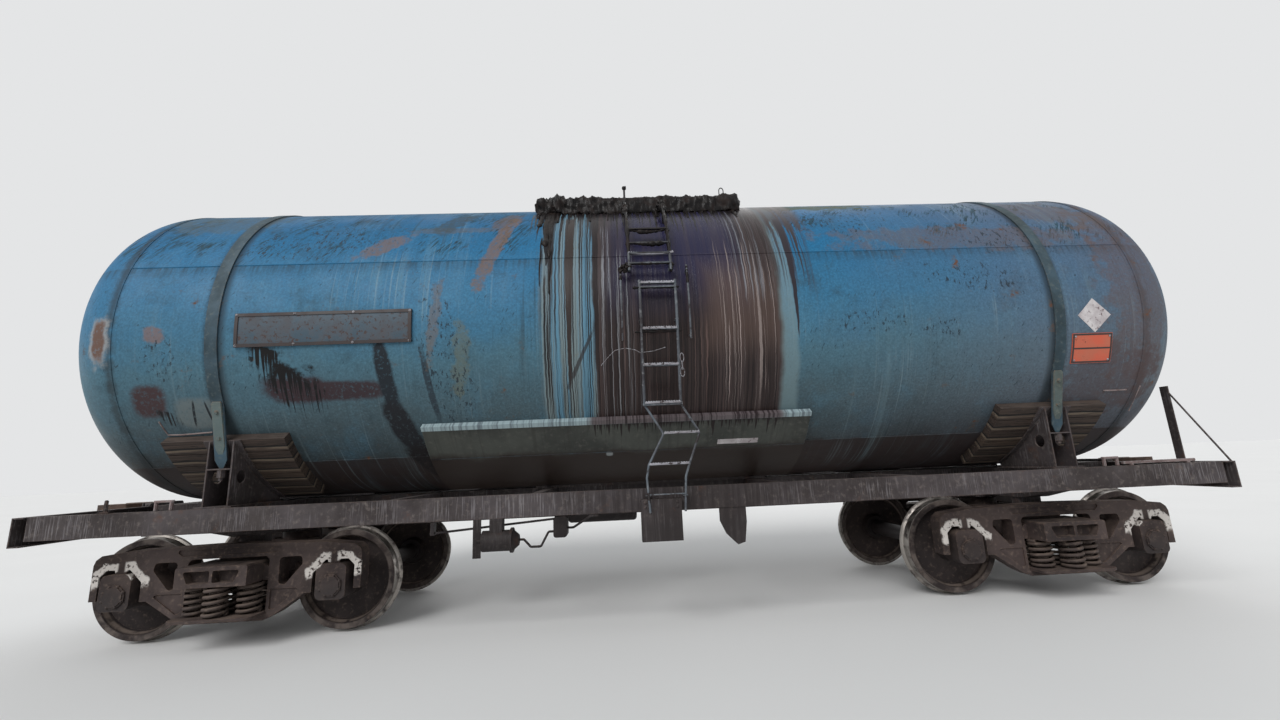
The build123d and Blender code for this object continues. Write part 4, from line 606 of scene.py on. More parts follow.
# degrees above the middle line, colour
PAINT_STOPS = [
    (-90, rgb(38, 34, 33)),
    (-58, rgb(58, 58, 58)),
    (-47, rgb(66, 76, 80)),
    (-33, rgb(72, 92, 100)),
    (-15, rgb(72, 108, 124)),
    (3, rgb(52, 110, 144)),
    (22, rgb(28, 104, 146)),
    (45, rgb(14, 95, 140)),
    (68, rgb(24, 88, 120)),
    (90, rgb(44, 82, 104)),
]
stops = ramp.color_ramp.elements
stops[0].position, stops[0].color = 0.0, PAINT_STOPS[0][1]
stops[1].position, stops[1].color = 1.0, PAINT_STOPS[-1][1]
for height, colour in PAINT_STOPS[1:-1]:
    stops.new((height + 90) / 180).color = colour
link(ramp.outputs["Color"], shader.inputs["Base Color"])
link(rise(noise(point, 2.3, 4.0), 0.3, 0.7, 0.42, 0.6), shader.inputs["Roughness"])
bleached = rise(noise(point, 1.6, 7.0, 0.66), 0.5, 0.78, 0.0, 0.36)
layer(shader, bleached, rgb(78, 130, 156), 0.66)
sooted = rise(noise(point, 2.9, 8.0, 0.7), 0.52, 0.76, 0.0, 0.55)
layer(shader, sooted, rgb(44, 62, 70), 0.62)
# Painted glare: the paint turns lavender-grey towards the right end, a haze of light from the sun behind that
# end.
glare_haze_towards_right = plus(spot["Along"], spread(clouds, 3.0))
layer(shader, rise(glare_haze_towards_right, 1.2, 5.2, 0.0, 0.62), rgb(96, 96, 106), 0.62)
layer(shader, rise(fine, 0.34, 0.62, 0.26, 0.0), rgb(26, 38, 44))
layer(shader, rise(fine, 0.56, 0.8, 0.0, 0.26), rgb(94, 148, 172))
soiled = plus(spot["Degrees"], spread(ragged, 2.5))
layer(shader, rise(soiled, BELLY_WELD + 0.7, BELLY_WELD - 0.7, 0.0, 0.8), rgb(50, 39, 37), 0.6)
print("paint stops:", len(PAINT_STOPS))

# %% [markdown]
# Years of rain leave pale and dark lines down the whole side, dark flecks along the upper belt, and rust
# where the coat is thin. Dirt gathers at the welds, which stand out of the sheet and stop what runs down.
# The dark bands at the girth weld and beside the straps are dirt and painted shade of these raised parts.
# These cover the whole tank, so they come from noise and the groups above. Zones of slow noise keep any
# line from running on everywhere with the same strength. The straps lie over the bogies' middles.

# %% Weathering of the whole tank
SIDE_WELD = 19.6
place = axes(point)
pale_zone = rise(noise(point, 0.8, 4.0, 0.6), 0.4, 0.66)
dark_zone = rise(noise(point, 0.7, 3.0), 0.44, 0.62)
# lines per metre, stretch, seed, from, to, zone, share, colour
LINES = [
    (7.0, 0.35, 3.0, 0.5, 0.72, pale_zone, 0.24, rgb(122, 150, 158)),
    (38.0, 0.55, 4.0, 0.54, 0.7, pale_zone, 0.34, rgb(142, 162, 168)),
    (19.0, 0.45, 8.0, 0.56, 0.7, dark_zone, 0.5, rgb(40, 54, 60)),
    (85.0, 0.7, 9.0, 0.58, 0.7, dark_zone, 0.55, rgb(38, 48, 52)),
]
for *numbers, mask, share, colour in LINES:
    layer(shader, times(lines_down(spot["Along"], spot["Down"], *numbers), mask, share), colour, 0.64)
lean = plus(spot["Along"], times(spot["Down"], 0.55))
# lines per metre, stretch, seed, from, to, lower edge and upper edge in degrees, share, colour
FLECKS = [
    (30.0, 5.0, 5.0, 0.5, 0.57, 20.0, 70.0, 0.85, rgb(28, 60, 72)),
    (48.0, 9.0, 6.0, 0.56, 0.61, 16.0, 80.0, 0.85, rgb(30, 40, 42)),
    (60.0, 12.0, 7.0, 0.62, 0.66, -50.0, 30.0, 0.8, rgb(32, 44, 52)),
]
fleck_zone = rise(noise(point, 1.9, 5.0, 0.66), 0.46, 0.58)
for *numbers, low, high, share, colour in FLECKS:
    belt = times(rise(spot["Degrees"], low, low + 8.0), rise(spot["Degrees"], high, high - 12.0))
    layer(shader, times(lines_down(lean, spot["Down"], *numbers), belt, fleck_zone, share), colour, 0.7)
from_middle = calc("ABSOLUTE", place["X"])
# Dark band at the girth weld: dirt, and painted shade of the raised seam.
girth_dirt_and_shade = plus(calc("ABSOLUTE", minus(from_middle, GIRTH_WELD)), spread(ragged, 0.16))
layer(shader, rise(girth_dirt_and_shade, 0.07, 0.0, 0.0, 0.65), rgb(46, 50, 52), 0.75)
# Dark band beside each strap: dirt, and painted shade of the raised strap.
strap_dirt_and_shade = calc("ABSOLUTE", plus(minus(from_middle, BOGIE_MIDDLE), times(fine, 0.03)))
layer(shader, rise(strap_dirt_and_shade, 0.12, 0.05, 0.0, 0.72), rgb(36, 42, 46), 0.7)
under_weld = minus(SIDE_WELD - 0.2, spot["Degrees"])
hang = lines_down(spot["Along"], spot["Down"], 24.0, 0.9, 14.0, 0.42, 0.66)
weld_dirt = times(rise(under_weld, -0.2, 0.2), rise(under_weld, 6.0, 0.0), rise(hang, 0.0, 1.0, 0.2, 0.6))
layer(shader, weld_dirt, rgb(40, 50, 56), 0.7)
specks = rise(noise(point, 17.0, 5.0, 0.72), 0.66, 0.71)
layer(shader, times(specks, 0.75), rgb(34, 40, 44), 0.7)
rust_ground = noise(point, 4.1, 7.0, 0.72)
layer(shader, rise(rust_ground, 0.6, 0.68, 0.0, 0.45), rgb(88, 78, 68), 0.8)
rust_spots = rise(rust_ground, 0.66, 0.7)
layer(shader, rust_spots, mix(fine, rgb(116, 78, 56), rgb(76, 52, 44)), 0.88)
print("weathering laid")

# %% [markdown]
# Single marks follow: primer showing through, a brown belt under the blank number plate, a curved dark
# stripe beside it that widens downwards, and scraped places on the left end. The table says where each is,
# how large, how slanted and how ragged. Each is broken up by fine noise, so that old paint shows through
# it. Clusters of dark specks have a table of their own.

# %% Stains with a place of their own
# along, degrees, half length, half degrees, slant, ragged, colour, share
STAINS = [
    (-2.5, 28.0, 0.14, 6.0, 0.03, 2.6, rgb(112, 94, 86), 0.72),
    (-1.95, 36.0, 0.42, 2.0, 0.03, 2.6, rgb(96, 92, 88), 0.45),
    (-1.46, 27.0, 0.075, 19.0, 0.008, 2.4, rgb(114, 92, 78), 0.75),
    (-1.4, 44.0, 0.1, 7.0, 0.01, 2.6, rgb(100, 84, 74), 0.65),
    (-1.95, 42.0, 0.12, 9.0, 0.012, 2.6, rgb(60, 70, 74), 0.7),
    (-4.2, 47.0, 0.5, 9.0, 0.02, 2.6, rgb(88, 90, 76), 0.4),
    (-4.75, 52.0, 0.4, 9.0, 0.0, 2.6, rgb(76, 84, 80), 0.35),
    (-2.88, -24.0, 0.5, 3.4, -0.01, 0.35, rgb(56, 46, 50), 1.0),
    (-3.2, -23.2, 0.3, 4.8, -0.01, 0.4, rgb(56, 44, 48), 1.0),
    (-4.48, -25.5, 0.15, 5.5, 0.0, 0.4, rgb(64, 50, 52), 1.0),
    (-4.865, -6.0, 0.104, 7.7, 0.0, 1.5, rgb(150, 150, 150), 0.75),
    (-4.865, -6.0, 0.062, 6.6, 0.0, 1.2, rgb(96, 68, 54), 0.9),
    (-4.4, -4.4, 0.085, 2.5, 0.0, 1.6, rgb(124, 92, 78), 0.65),
    # These three rows draw a curved dark stripe down from the number plate's right end, wider lower down.
    (-2.42, -20.0, 0.075, 12.5, -0.004, 0.5, rgb(34, 40, 46), 1.1),
    (-2.33, -39.0, 0.12, 11.0, -0.008, 0.5, rgb(34, 36, 40), 1.1),
    (-2.12, -58.0, 0.17, 13.0, -0.013, 0.5, rgb(32, 30, 32), 1.1),
    (-2.04, -24.0, 0.03, 13.0, -0.004, 0.9, rgb(44, 54, 62), 0.9),
    (-4.1, -30.0, 0.19, 5.5, 0.0, 0.25, rgb(104, 112, 112), 0.7),
    (-4.13, -30.0, 0.012, 4.5, 0.004, 0.3, rgb(34, 38, 42), 1.0),
    (-4.0, -30.0, 0.01, 4.5, -0.004, 0.3, rgb(34, 38, 42), 1.0),
    (3.2, 25.0, 1.3, 6.0, -0.04, 2.6, rgb(96, 82, 78), 0.5),
    (4.75, 5.0, 0.35, 40.0, 0.0, 2.6, rgb(92, 74, 70), 0.5),
    (4.3, 42.0, 0.4, 12.0, -0.02, 2.6, rgb(96, 84, 78), 0.5),
    (4.5, -30.0, 0.5, 12.0, 0.0, 2.4, rgb(76, 62, 62), 0.55),
    (1.75, 54.0, 0.8, 5.0, 0.0, 3.0, rgb(84, 88, 58), 0.8),
    (-0.2, -60.0, 1.9, 12.0, 0.0, 1.6, rgb(54, 46, 44), 0.6),
    (-1.98, -2.0, 0.05, 12.0, 0.003, 2.6, rgb(112, 92, 74), 0.5),
    (-1.75, -14.0, 0.07, 11.0, 0.003, 3.0, rgb(98, 100, 82), 0.5),
]
near_side = rise(place["Y"], 0.2, -0.2)
broken = rise(noise(point, 31.0, 5.0, 0.7), 0.34, 0.5, 0.45, 1.0)
for *numbers, colour, share in STAINS:
    layer(shader, times(oval(spot, ragged, *numbers), near_side, broken, share), colour, 0.75)
# along, degrees, half length, half degrees, slant
SPECK_CLUSTERS = [
    (2.02, -7.0, 0.34, 4.0, 0.01),
    (2.75, -10.0, 0.2, 3.0, 0.01),
    (3.1, 8.0, 0.45, 6.0, -0.04),
    (3.6, 24.0, 0.5, 7.0, -0.02),
    (1.9, 40.0, 0.6, 10.0, 0.0),
    (-1.9, -16.0, 0.22, 24.0, -0.004),
    (-3.15, 32.0, 0.62, 10.0, 0.02),
    (-4.38, -12.0, 0.16, 7.0, 0.0),
]
torn = node(shader.id_data, "Mapping", {"Vector": point, "Scale": (1.0, 0.5, 0.5)}).outputs[0]
torn = rise(noise(torn, 34.0, 5.0, 0.7), 0.56, 0.6)
for row in SPECK_CLUSTERS:
    layer(shader, times(oval(spot, ragged, *row, 2.4), torn, 0.85), rgb(34, 42, 50), 0.6)
print("stains:", len(STAINS), "clusters:", len(SPECK_CLUSTERS))

# %% [markdown]
# Dark oil has spilled from the manhole for years and covers the middle of both sides. Left of the ladder
# there is first a window of bright paint crossed by fine lines, then brown-black oil in lines; beside the
# ladder the oil lies smooth, with a painted blue-violet reflection of the sky on it; on the right it is
# brown again. It stops at the jacket's ledge.

# %% Spilled oil on the tank
LEDGE = -38.0
beside = plus(spot["Along"], spread(noise(point, 3.0, 5.0, 0.6), 0.09))
drawn = plus(spot["Along"], spread(noise(point, 9.0, 3.0, 0.5), 0.02))


def zone(left, right, top, bottom, soft, soft_degrees=2.0):
    """A strip of the tank between two places along it and two heights."""
    made = use(strip, Along=beside, Degrees=spot["Degrees"], Left=left, Right=right, Top=top, Bottom=bottom,
               Soft=soft, Soft_Degrees=soft_degrees)
    return made["Mask"]


hair = lines_down(drawn, spot["Down"], 150.0, 0.35, 21.0, 0.52, 0.6)
thin = lines_down(drawn, spot["Down"], 62.0, 0.28, 22.0, 0.5, 0.56)
broad = lines_down(drawn, spot["Down"], 17.0, 0.2, 23.0, 0.44, 0.58)
window = zone(-1.02, -0.5, 62.0, LEDGE, 0.035)
layer(shader, times(window, 0.75), mix(broad, rgb(92, 134, 156), rgb(122, 134, 134)), 0.5)
layer(shader, times(window, hair, 0.8), rgb(42, 54, 58), 0.4)
layer(shader, times(window, thin), rgb(36, 34, 36), 0.34)
body = zone(-0.54, 1.22, 100.0, LEDGE - 0.5, 0.02)
layer(shader, body, mix(broad, rgb(44, 35, 34), rgb(60, 50, 49)), 0.32)
layer(shader, times(body, thin, 0.8), rgb(30, 24, 25), 0.28)
# Painted reflection: a blue-violet tint on the smooth oil beside the ladder stands in for the sky mirrored in
# it.
sky_reflection_on_oil = zone(-0.36, 0.86, 60.0, 4.0, 0.16, 13.0)
layer(shader, times(sky_reflection_on_oil, 0.92), mix(broad, rgb(36, 35, 62), rgb(46, 42, 62)), 0.24)
low_right = zone(0.5, 1.2, 14.0, -14.0, 0.1, 8.0)
layer(shader, times(low_right, 0.6), rgb(84, 68, 62), 0.4)
# left, right, top, bottom, lines per metre, seed, from, to, share, colour
BRIGHT_LINES = [
    (-0.52, -0.1, 20.0, -38.0, 52.0, 31.0, 0.57, 0.62, 0.75, rgb(132, 134, 138)),
    (-0.5, 0.7, -6.0, -38.0, 60.0, 32.0, 0.58, 0.64, 0.6, rgb(104, 84, 80)),
    (0.55, 1.2, 24.0, -38.0, 70.0, 33.0, 0.59, 0.63, 0.8, rgb(140, 128, 124)),
    (0.66, 1.16, 12.0, -30.0, 36.0, 37.0, 0.61, 0.63, 0.9, rgb(156, 142, 138)),
    (0.82, 1.14, 50.0, 4.0, 88.0, 34.0, 0.54, 0.59, 0.7, rgb(126, 130, 138)),
    (-0.46, -0.3, 34.0, 6.0, 90.0, 35.0, 0.55, 0.59, 0.7, rgb(150, 154, 164)),
]
for left, right, top, bottom, per_metre, seed, start, stop, share, colour in BRIGHT_LINES:
    lines = lines_down(drawn, spot["Down"], per_metre, 0.24, seed, start, stop)
    layer(shader, times(lines, zone(left, right, top, bottom, 0.05, 5.0), share), colour, 0.42)
washed = zone(1.2, 1.36, 60.0, LEDGE, 0.03, 4.0)
layer(shader, times(washed, 0.6), rgb(112, 132, 136), 0.5)
right_lines = lines_down(drawn, spot["Down"], 21.0, 0.3, 36.0, 0.5, 0.56)
layer(shader, times(zone(0.95, 1.55, 60.0, 8.0, 0.08, 9.0), right_lines, 0.85), rgb(52, 42, 42), 0.36)
right_cloak = fingers(drawn, spot["Degrees"], 38.0, 30.0, 9.0, 8.0)
layer(shader, times(right_cloak, zone(1.2, 1.62, 110.0, 0.0, 0.05, 9.0), 0.75), rgb(58, 47, 46), 0.4)
print("oil laid, lines:", len(BRIGHT_LINES))

# %% [markdown]
# Some runs are known one by one: a black one from the platform's left corner, the thin line beside it, the
# brown strip in the bright window and the pointed dark finger on the right. They are drawn from a table, on
# both sides. A smear lies beside them on the near side, and short fingers of tar hang from under both
# platforms.

# %% Single runs
# centre, half width, top, tip, colour
RUNS = [
    (-0.975, 0.085, 60.0, 16.0, rgb(20, 20, 24)),
    (-0.94, 0.034, 24.0, 5.0, rgb(26, 26, 30)),
    (-1.03, 0.012, 24.0, 8.0, rgb(24, 26, 30)),
    (-0.985, 0.014, 12.0, -38.0, rgb(24, 24, 27)),
    (-0.765, 0.05, 44.0, -27.0, rgb(50, 43, 41)),
    (-0.66, 0.016, 55.0, -3.0, rgb(34, 36, 40)),
    (-0.59, 0.014, 48.0, -20.0, rgb(34, 36, 40)),
    (-0.86, 0.012, 44.0, 2.0, rgb(36, 38, 42)),
    (1.362, 0.042, 40.0, -12.5, rgb(44, 40, 46)),
    (1.47, 0.02, 40.0, 6.0, rgb(50, 46, 50)),
    (1.15, 0.03, 56.0, 3.0, rgb(46, 38, 38)),
    (-1.12, 0.02, 54.0, 34.0, rgb(40, 38, 34)),
    (-1.16, 0.012, 50.0, 30.0, rgb(40, 38, 34)),
]
for centre, half_width, top, tip, colour in RUNS:
    run = use(pointed_run, Along=drawn, Degrees=spot["Degrees"], Centre=centre, Half_Width=half_width,
              Top=top, Tip=tip)["Mask"]
    layer(shader, run, colour, 0.3)
smear = oval(spot, ragged, -0.67, -16.5, 0.022, 9.0, 0.0132, 1.6)
layer(shader, times(smear, near_side, 0.8), rgb(46, 42, 42), 0.4)
under_deck = fingers(drawn, spot["Degrees"], 51.0, 24.0, 30.0, 4.0)
layer(shader, times(under_deck, zone(-1.14, 1.06, 100.0, -30.0, 0.03)), rgb(24, 21, 23), 0.3)
print("runs:", len(RUNS))

# %% [markdown]
# Black splashes left of the belt stain have torn, finger-like lower edges. A drip front cut by a patch
# makes them. Bump comes last: slow waves of hand-beaten plate, the thickness of oil runs, and the grain of
# old paint.

# %% Splashes and relief of the tank
# along, degrees, half length, half degrees, seed
SPLASHES = [
    (-3.42, -16.0, 0.13, 9.0, 2.0),
    (-3.2, -24.0, 0.2, 10.0, 7.0),
    (-4.36, -31.0, 0.07, 3.0, 5.0),
]
for along, height, half_length, half_degrees, seed in SPLASHES:
    splash = oval(spot, ragged, along, height, half_length, half_degrees, -0.012, 2.4)
    lower_edge = fingers(spot["Along"], spot["Degrees"], height + 6.0, 22.0, 38.0, seed)
    layer(shader, times(splash, lower_edge, near_side), rgb(16, 15, 17), 0.3)

beaten = times(noise(point, 1.3, 2.0), 0.006)
oil_relief = times(thin, plus(body, window), 0.001)
paint_skin = times(use(grain, Point=point, Per_Metre=70.0, Pits=0.2)["Height"], 0.0007)
flakes = times(calc("MAXIMUM", rust_spots, specks), -0.0006)
relief(shader, plus(beaten, oil_relief, paint_skin, flakes), 0.8, 1.0)
print("tank nodes:", len(shader.id_data.nodes))

# %% [markdown]
# The heating jacket under the tank is thinner sheet, grey-green above its weld and brown with oil below.
# Its ledge's top is pale, a painted highlight of sky light, but in the middle the spilled oil hangs over it.
# One pale dab sits on it below the ladder.

# %% Jacket sheet
_, shader, point = finishes["jacket_sheet"]
spot = use(place_on_tank, Point=point)
lines = lines_down(spot["Along"], spot["Down"], 24.0, 0.5, 2.0, 0.5, 0.66)
layer(shader, times(lines, 0.35), rgb(42, 38, 37), 0.5)
belly = rise(plus(spot["Degrees"], times(noise(point, 3.0, 5.0, 0.6), 9.0)), -44.0, -48.5)
layer(shader, belly, rgb(44, 35, 31), 0.5)
dab = oval(spot, 0.5, -0.44, -52.2, 0.034, 1.2)
layer(shader, times(dab, 0.8), rgb(150, 156, 158), 0.7)
oily = use(strip, Along=spot["Along"], Degrees=spot["Degrees"], Left=-0.62, Right=1.24, Soft=0.05)["Mask"]
hanging = fingers(spot["Along"], spot["Degrees"], -37.9, 8.0, 26.0, 9.0)
layer(shader, times(hanging, oily), rgb(36, 29, 29), 0.34)
# Painted highlight: the ledge's top is pale in lines, where sky light falls on it; oil darkens it in the
# middle.
lit_ledge_top = rise(spot["Degrees"], -38.9, -38.4)
ledge_lines = lines_down(spot["Along"], spot["Down"], 42.0, 0.5, 6.0, 0.44, 0.62)
layer(shader, lit_ledge_top, mix(ledge_lines, rgb(148, 166, 170), rgb(104, 116, 122)), 0.5)
layer(shader, times(lit_ledge_top, oily), mix(ledge_lines, rgb(96, 88, 90), rgb(44, 36, 38)), 0.4)
print("jacket done")

# %% [markdown]
# The saddles' bars are old timber. Grain is noise stretched along the bar, and the bars are stacked planks,
# so the degrees on the tank say which plank a point is in: each has its own tone, a painted highlight along
# its upper edge and dark joints. Dark checks and dust lie over it.

# %% Old timber
PLANK_DEGREES = 5.0
finishes["wood"] = new_material("wood")
_, shader, point = finishes["wood"]
stretched = node(shader.id_data, "Mapping", {"Vector": point, "Scale": (1.2, 26.0, 26.0)}).outputs[0]
fibres = noise(stretched, 2.2, 6.0, 0.65, 0.4)
checks = rise(noise(stretched, 4.5, 3.0, 0.5), 0.6, 0.66)
link(mix(rise(fibres, 0.3, 0.7), rgb(66, 52, 44), rgb(38, 30, 26)), shader.inputs["Base Color"])
link(rise(fibres, 0.3, 0.7, 0.7, 0.88), shader.inputs["Roughness"])
layer(shader, checks, rgb(26, 21, 19), 0.9)
bowed = times(noise(point, 1.4, 3.0), 1.6)
height = plus(use(place_on_tank, Point=point)["Degrees"], bowed, 180.0)
plank = calc("DIVIDE", height, PLANK_DEGREES)
in_plank = calc("FRACT", plank)
which = {"W": calc("FLOOR", plank)}
plank_tone = node(shader.id_data, "TexWhiteNoise", which, noise_dimensions="1D").outputs["Value"]
layer(shader, rise(plank_tone, 0.5, 1.0, 0.0, 0.5), rgb(92, 76, 62))
# Painted highlight along each plank's upper edge.
plank_edge_highlight = times(rise(in_plank, 0.72, 0.82), rise(fibres, 0.35, 0.6))
layer(shader, times(plank_edge_highlight, 0.7), rgb(128, 114, 98), 0.9)
joint = calc("MAXIMUM", rise(in_plank, 0.93, 0.96), rise(in_plank, 0.1, 0.04))
layer(shader, joint, rgb(18, 15, 14), 0.9)
layer(shader, use(dust, Point=point, Amount=0.3)["Mask"], rgb(96, 86, 78), 0.9)
relief(shader, minus(minus(fibres, times(checks, 0.8)), times(joint, 2.0)), 0.7, 0.005)
print("timber done")

# %% [markdown]
# Dried tar is nearly black, with a skin that is glossy where it is fresh and dusty where it is old. Its
# lumps are geometry; the material adds small wrinkles and a brown bloom. The platform's own steel is coated
# with the same.

# %% Tar
finishes["platform_tar"] = new_material("platform_tar")
_, shader, point = finishes["platform_tar"]
shader.inputs["Specular IOR Level"].default_value = 0.16
bloom = rise(noise(point, 9.0, 6.0, 0.7), 0.45, 0.7)
link(mix(bloom, rgb(15, 13, 14), rgb(38, 30, 28)), shader.inputs["Base Color"])
link(rise(bloom, 0.0, 1.0, 0.3, 0.72), shader.inputs["Roughness"])
layer(shader, use(dust, Point=point, Amount=0.14)["Mask"], rgb(78, 64, 52), 0.9)
relief(shader, use(grain, Point=point, Per_Metre=60.0, Pits=0.5)["Height"], 0.7, 0.004)
print("tar done")

# %% [markdown]
# The number plate is blank, painted like the tank but chipped to primer. The danger plate is faded orange
# enamel. The blank labels are white, and the plates' rims and lines black. All of them are enamels: a
# colour with blotches, chips and worn edges, so one function makes them from a table.

# %% Enamels


def enamel(name, fresh, faded, chipped, chips):
    """A painted sign's finish: fresh and faded colour, and the colour where it has chipped off."""
    material, shader, point = new_material(name)
    blotches = rise(noise(point, 5.0, 5.0, 0.6), 0.35, 0.65)
    link(mix(blotches, rgb(*fresh), rgb(*faded)), shader.inputs["Base Color"])
    link(rise(blotches, 0.0, 1.0, 0.42, 0.66), shader.inputs["Roughness"])
    chip = rise(noise(point, 24.0, 6.0, 0.75), chips, chips + 0.03)
    layer(shader, chip, rgb(*chipped), 0.8)
    layer(shader, use(edge_wear, Point=point, Radius=0.004)["Mask"], rgb(*chipped), 0.7)
    surface = use(grain, Point=point, Per_Metre=110.0, Pits=0.2)["Height"]
    relief(shader, minus(surface, times(chip, 0.8)), 0.5, 0.0012)
    return material, shader, point


# name, fresh, faded and chipped colours, from which value of the noise it has chipped
ENAMELS = [
    ("plate_number", (46, 68, 82), (66, 68, 74), (66, 52, 50), 0.56),
    ("plate_hazard", (196, 84, 56), (182, 98, 74), (110, 62, 48), 0.62),
    ("white_enamel", (206, 202, 202), (168, 160, 162), (112, 96, 98), 0.58),
    ("black_enamel", (38, 31, 32), (52, 42, 41), (60, 46, 42), 0.68),
]
for row in ENAMELS:
    finishes[row[0]] = enamel(*row)
print("finishes:", len(finishes))

# %% [markdown]
# Every solid of the car now gets the finish that its record names.

# %% Finishes onto the solids
for row in frame["record"]["subparts"]:
    solid = nodes[row["node"]]
    finish = finishes[row["material_slot"]][0]
    if not solid.material_slots:
        solid.data.materials.append(finish)
    for holder in solid.material_slots:
        holder.material = finish

# %% [markdown]
# New pieces are built as plain lists of points and faces in a bmesh, one object for each kind of detail on
# each body. The first helper turns such a form into a piece that rides on its body and names its finish.
# Bars, bolts, ridges and bands are all rings of points joined one to the next, which the second helper
# does.

# %% Helpers for pieces


def piece(name, form, finish, body, smooth_below=50.0):
    """Makes the bmesh form an object of that name, with that finish, that moves with that body."""
    mesh = bpy.data.meshes.new(name)
    bmesh.ops.recalc_face_normals(form, faces=form.faces)
    form.to_mesh(mesh)
    form.free()
    mesh.materials.append(finishes[finish][0])
    mesh.shade_smooth()
    mesh.set_sharp_from_angle(angle=math.radians(smooth_below))
    made = bpy.data.objects.new(name, mesh)
    bpy.context.scene.collection.objects.link(made)
    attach(made, body)
    print(name, "faces:", len(mesh.polygons))
    return made


def join_rings(form, rings, first_end=True):
    """Joins each ring of points to the next with faces, and closes the ends."""
    for first, second in zip(rings, rings[1:]):
        for k in range(len(first)):
            after = (k + 1) % len(first)
            form.faces.new((first[k], first[after], second[after], second[k]))
    if first_end:
        form.faces.new(rings[0][::-1])
    form.faces.new(rings[-1])


# %% [markdown]
# A freight spring is a thick round bar wound into an open coil, with closed turns at both ends to stand on.
# The solids hold its place as a ringed column. Here the bar is swept along the coil: a ring of points at
# each step, joined to the ring before. Two coils stand in each nest place, one inside the other.

# %% Coil springs
SPRING_PLACES = [(-1, -0.5), (-1, 0.5), (0, -1), (0, 0), (0, 1), (1, -0.5), (1, 0.5)]
COLUMN_PITCH, ROW_PITCH = 0.225, 0.18
SPRING_LINE = 1.018
CLOSED_TURNS, CLOSED_SHARE = 0.8, 0.06
# radius of the coil and of its bar, turns, steps in a turn, sides of the bar
COILS = [(0.085, 0.015, 5.6, 22, 9), (0.05, 0.0085, 7.6, 16, 6)]


def tube(form, path, radius, sides):
    """Sweeps a round bar along path; radius is a number, or one for each point. Both ends are closed."""
    radii = radius if isinstance(radius, list) else [radius] * len(path)
    rings = []
    side = None
    for index, here in enumerate(path):
        ahead = path[min(index + 1, len(path) - 1)] - path[max(index - 1, 0)]
        ahead.normalize()
        if side is None:
            side = ahead.orthogonal()
        side = (side - ahead * side.dot(ahead)).normalized()
        other = ahead.cross(side)
        turns = [2 * math.pi * k / sides for k in range(sides)]
        ways = [side * math.cos(t) + other * math.sin(t) for t in turns]
        rings.append([form.verts.new(here + way * radii[index]) for way in ways])
    join_rings(form, rings)


def part_of(value, start, stop):
    """How far value has come from start to stop, from 0 to 1."""
    return min(max((value - start) / (stop - start), 0.0), 1.0)


def coil(form, centre, low, high, radius, bar, turns, steps, sides):
    """A compression spring whose first and last turns are nearly closed."""
    path = []
    for index in range(int(turns * steps) + 1):
        turn_now = index / steps
        climb = (CLOSED_SHARE * part_of(turn_now, 0.0, CLOSED_TURNS)
                 + (1 - 2 * CLOSED_SHARE) * part_of(turn_now, CLOSED_TURNS, turns - CLOSED_TURNS)
                 + CLOSED_SHARE * part_of(turn_now, turns - CLOSED_TURNS, turns))
        spin = 2 * math.pi * turn_now
        level = low + bar + (high - low - 2 * bar) * climb
        path.append(centre + Vector((radius * math.cos(spin), radius * math.sin(spin), level)))
    tube(form, path, bar, sides)


for body, side in (("left", -1), ("right", 1)):
    solid = "springs_" + body
    low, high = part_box(solid)
    form = bmesh.new()
    for column, row in SPRING_PLACES:
        for line in (-1, 1):
            across = line * SPRING_LINE + row * ROW_PITCH
            centre = Vector((side * BOGIE_MIDDLE + column * COLUMN_PITCH, across, 0.0))
            for sizes in COILS:
                coil(form, centre, low.z, high.z, *sizes)
    springs = piece("coil_" + solid, form, "spring_steel", "bogie_" + body, smooth_below=80.0)
    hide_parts(solid)

# %% [markdown]
# Bolt heads and nuts hold the box covers, plates, straps and steps. Each is a six-sided head with a
# chamfered top on a round washer, set on its surface by a point and the direction that it faces. It starts
# a little inside that surface, so it needs no underside.

# %% Bolts


def bolt(form, point, facing, size, height=0.65, washer=1.35):
    """A hexagon head of that size across its corners' radius, on a washer."""
    facing = Vector(facing).normalized()
    side = facing.orthogonal().normalized()
    other = facing.cross(side)
    start = Vector(point) - facing * size * 0.3
    # sides, radius in sizes, height in sizes
    layers = [(12, washer, 0.0), (12, washer, 0.42), (12, washer * 0.92, 0.5)]
    hexagon = [(6, 1.0, 0.5), (6, 1.0, 0.5 + height * 0.8), (6, 0.84, 0.5 + height)]
    for rows in (layers, hexagon):
        rings = []
        for count, radius, level in rows:
            turns = [2 * math.pi * k / count for k in range(count)]
            ways = [side * math.cos(t) + other * math.sin(t) for t in turns]
            centre = start + facing * size * level
            rings.append([form.verts.new(centre + way * radius * size) for way in ways])
        join_rings(form, rings, first_end=False)


COVER_FACE, COVER_BOLT_CIRCLE = 1.146, 0.0895
for body, side in (("left", -1), ("right", 1)):
    form = bmesh.new()
    for axle in (side * AXLE_PLACES[0], side * AXLE_PLACES[1]):
        for line in (-1, 1):
            for k in range(8):
                spin = math.radians(22.5 + 45 * k)
                along = axle + COVER_BOLT_CIRCLE * math.cos(spin)
                height = AXLE_HEIGHT + COVER_BOLT_CIRCLE * math.sin(spin)
                bolt(form, (along, line * COVER_FACE, height), (0, line, 0), 0.011)
    piece("cover_bolts_" + body, form, "bogie_cast", "bogie_" + body)

# %% [markdown]
# The tank's sheets are joined by long welds, at about 20 degrees above and 51 below its middle line. A weld
# bead is a low rope of overlapping ripples, so the bar's radius swells a little at every step. Below, the
# line continues on the jacket, and it stops beside the timber of the saddles.

# %% Weld beads


def on_tank(along, height, radius=TANK_RADIUS, side=-1):
    """The point at that place along the car and that many degrees above the middle line; side -1 is near."""
    lift = math.radians(height)
    return Vector((along, side * radius * math.cos(lift), TANK_AXIS + radius * math.sin(lift)))


BEAD_STEP = 0.02
JACKET_RADIUS = 1.655
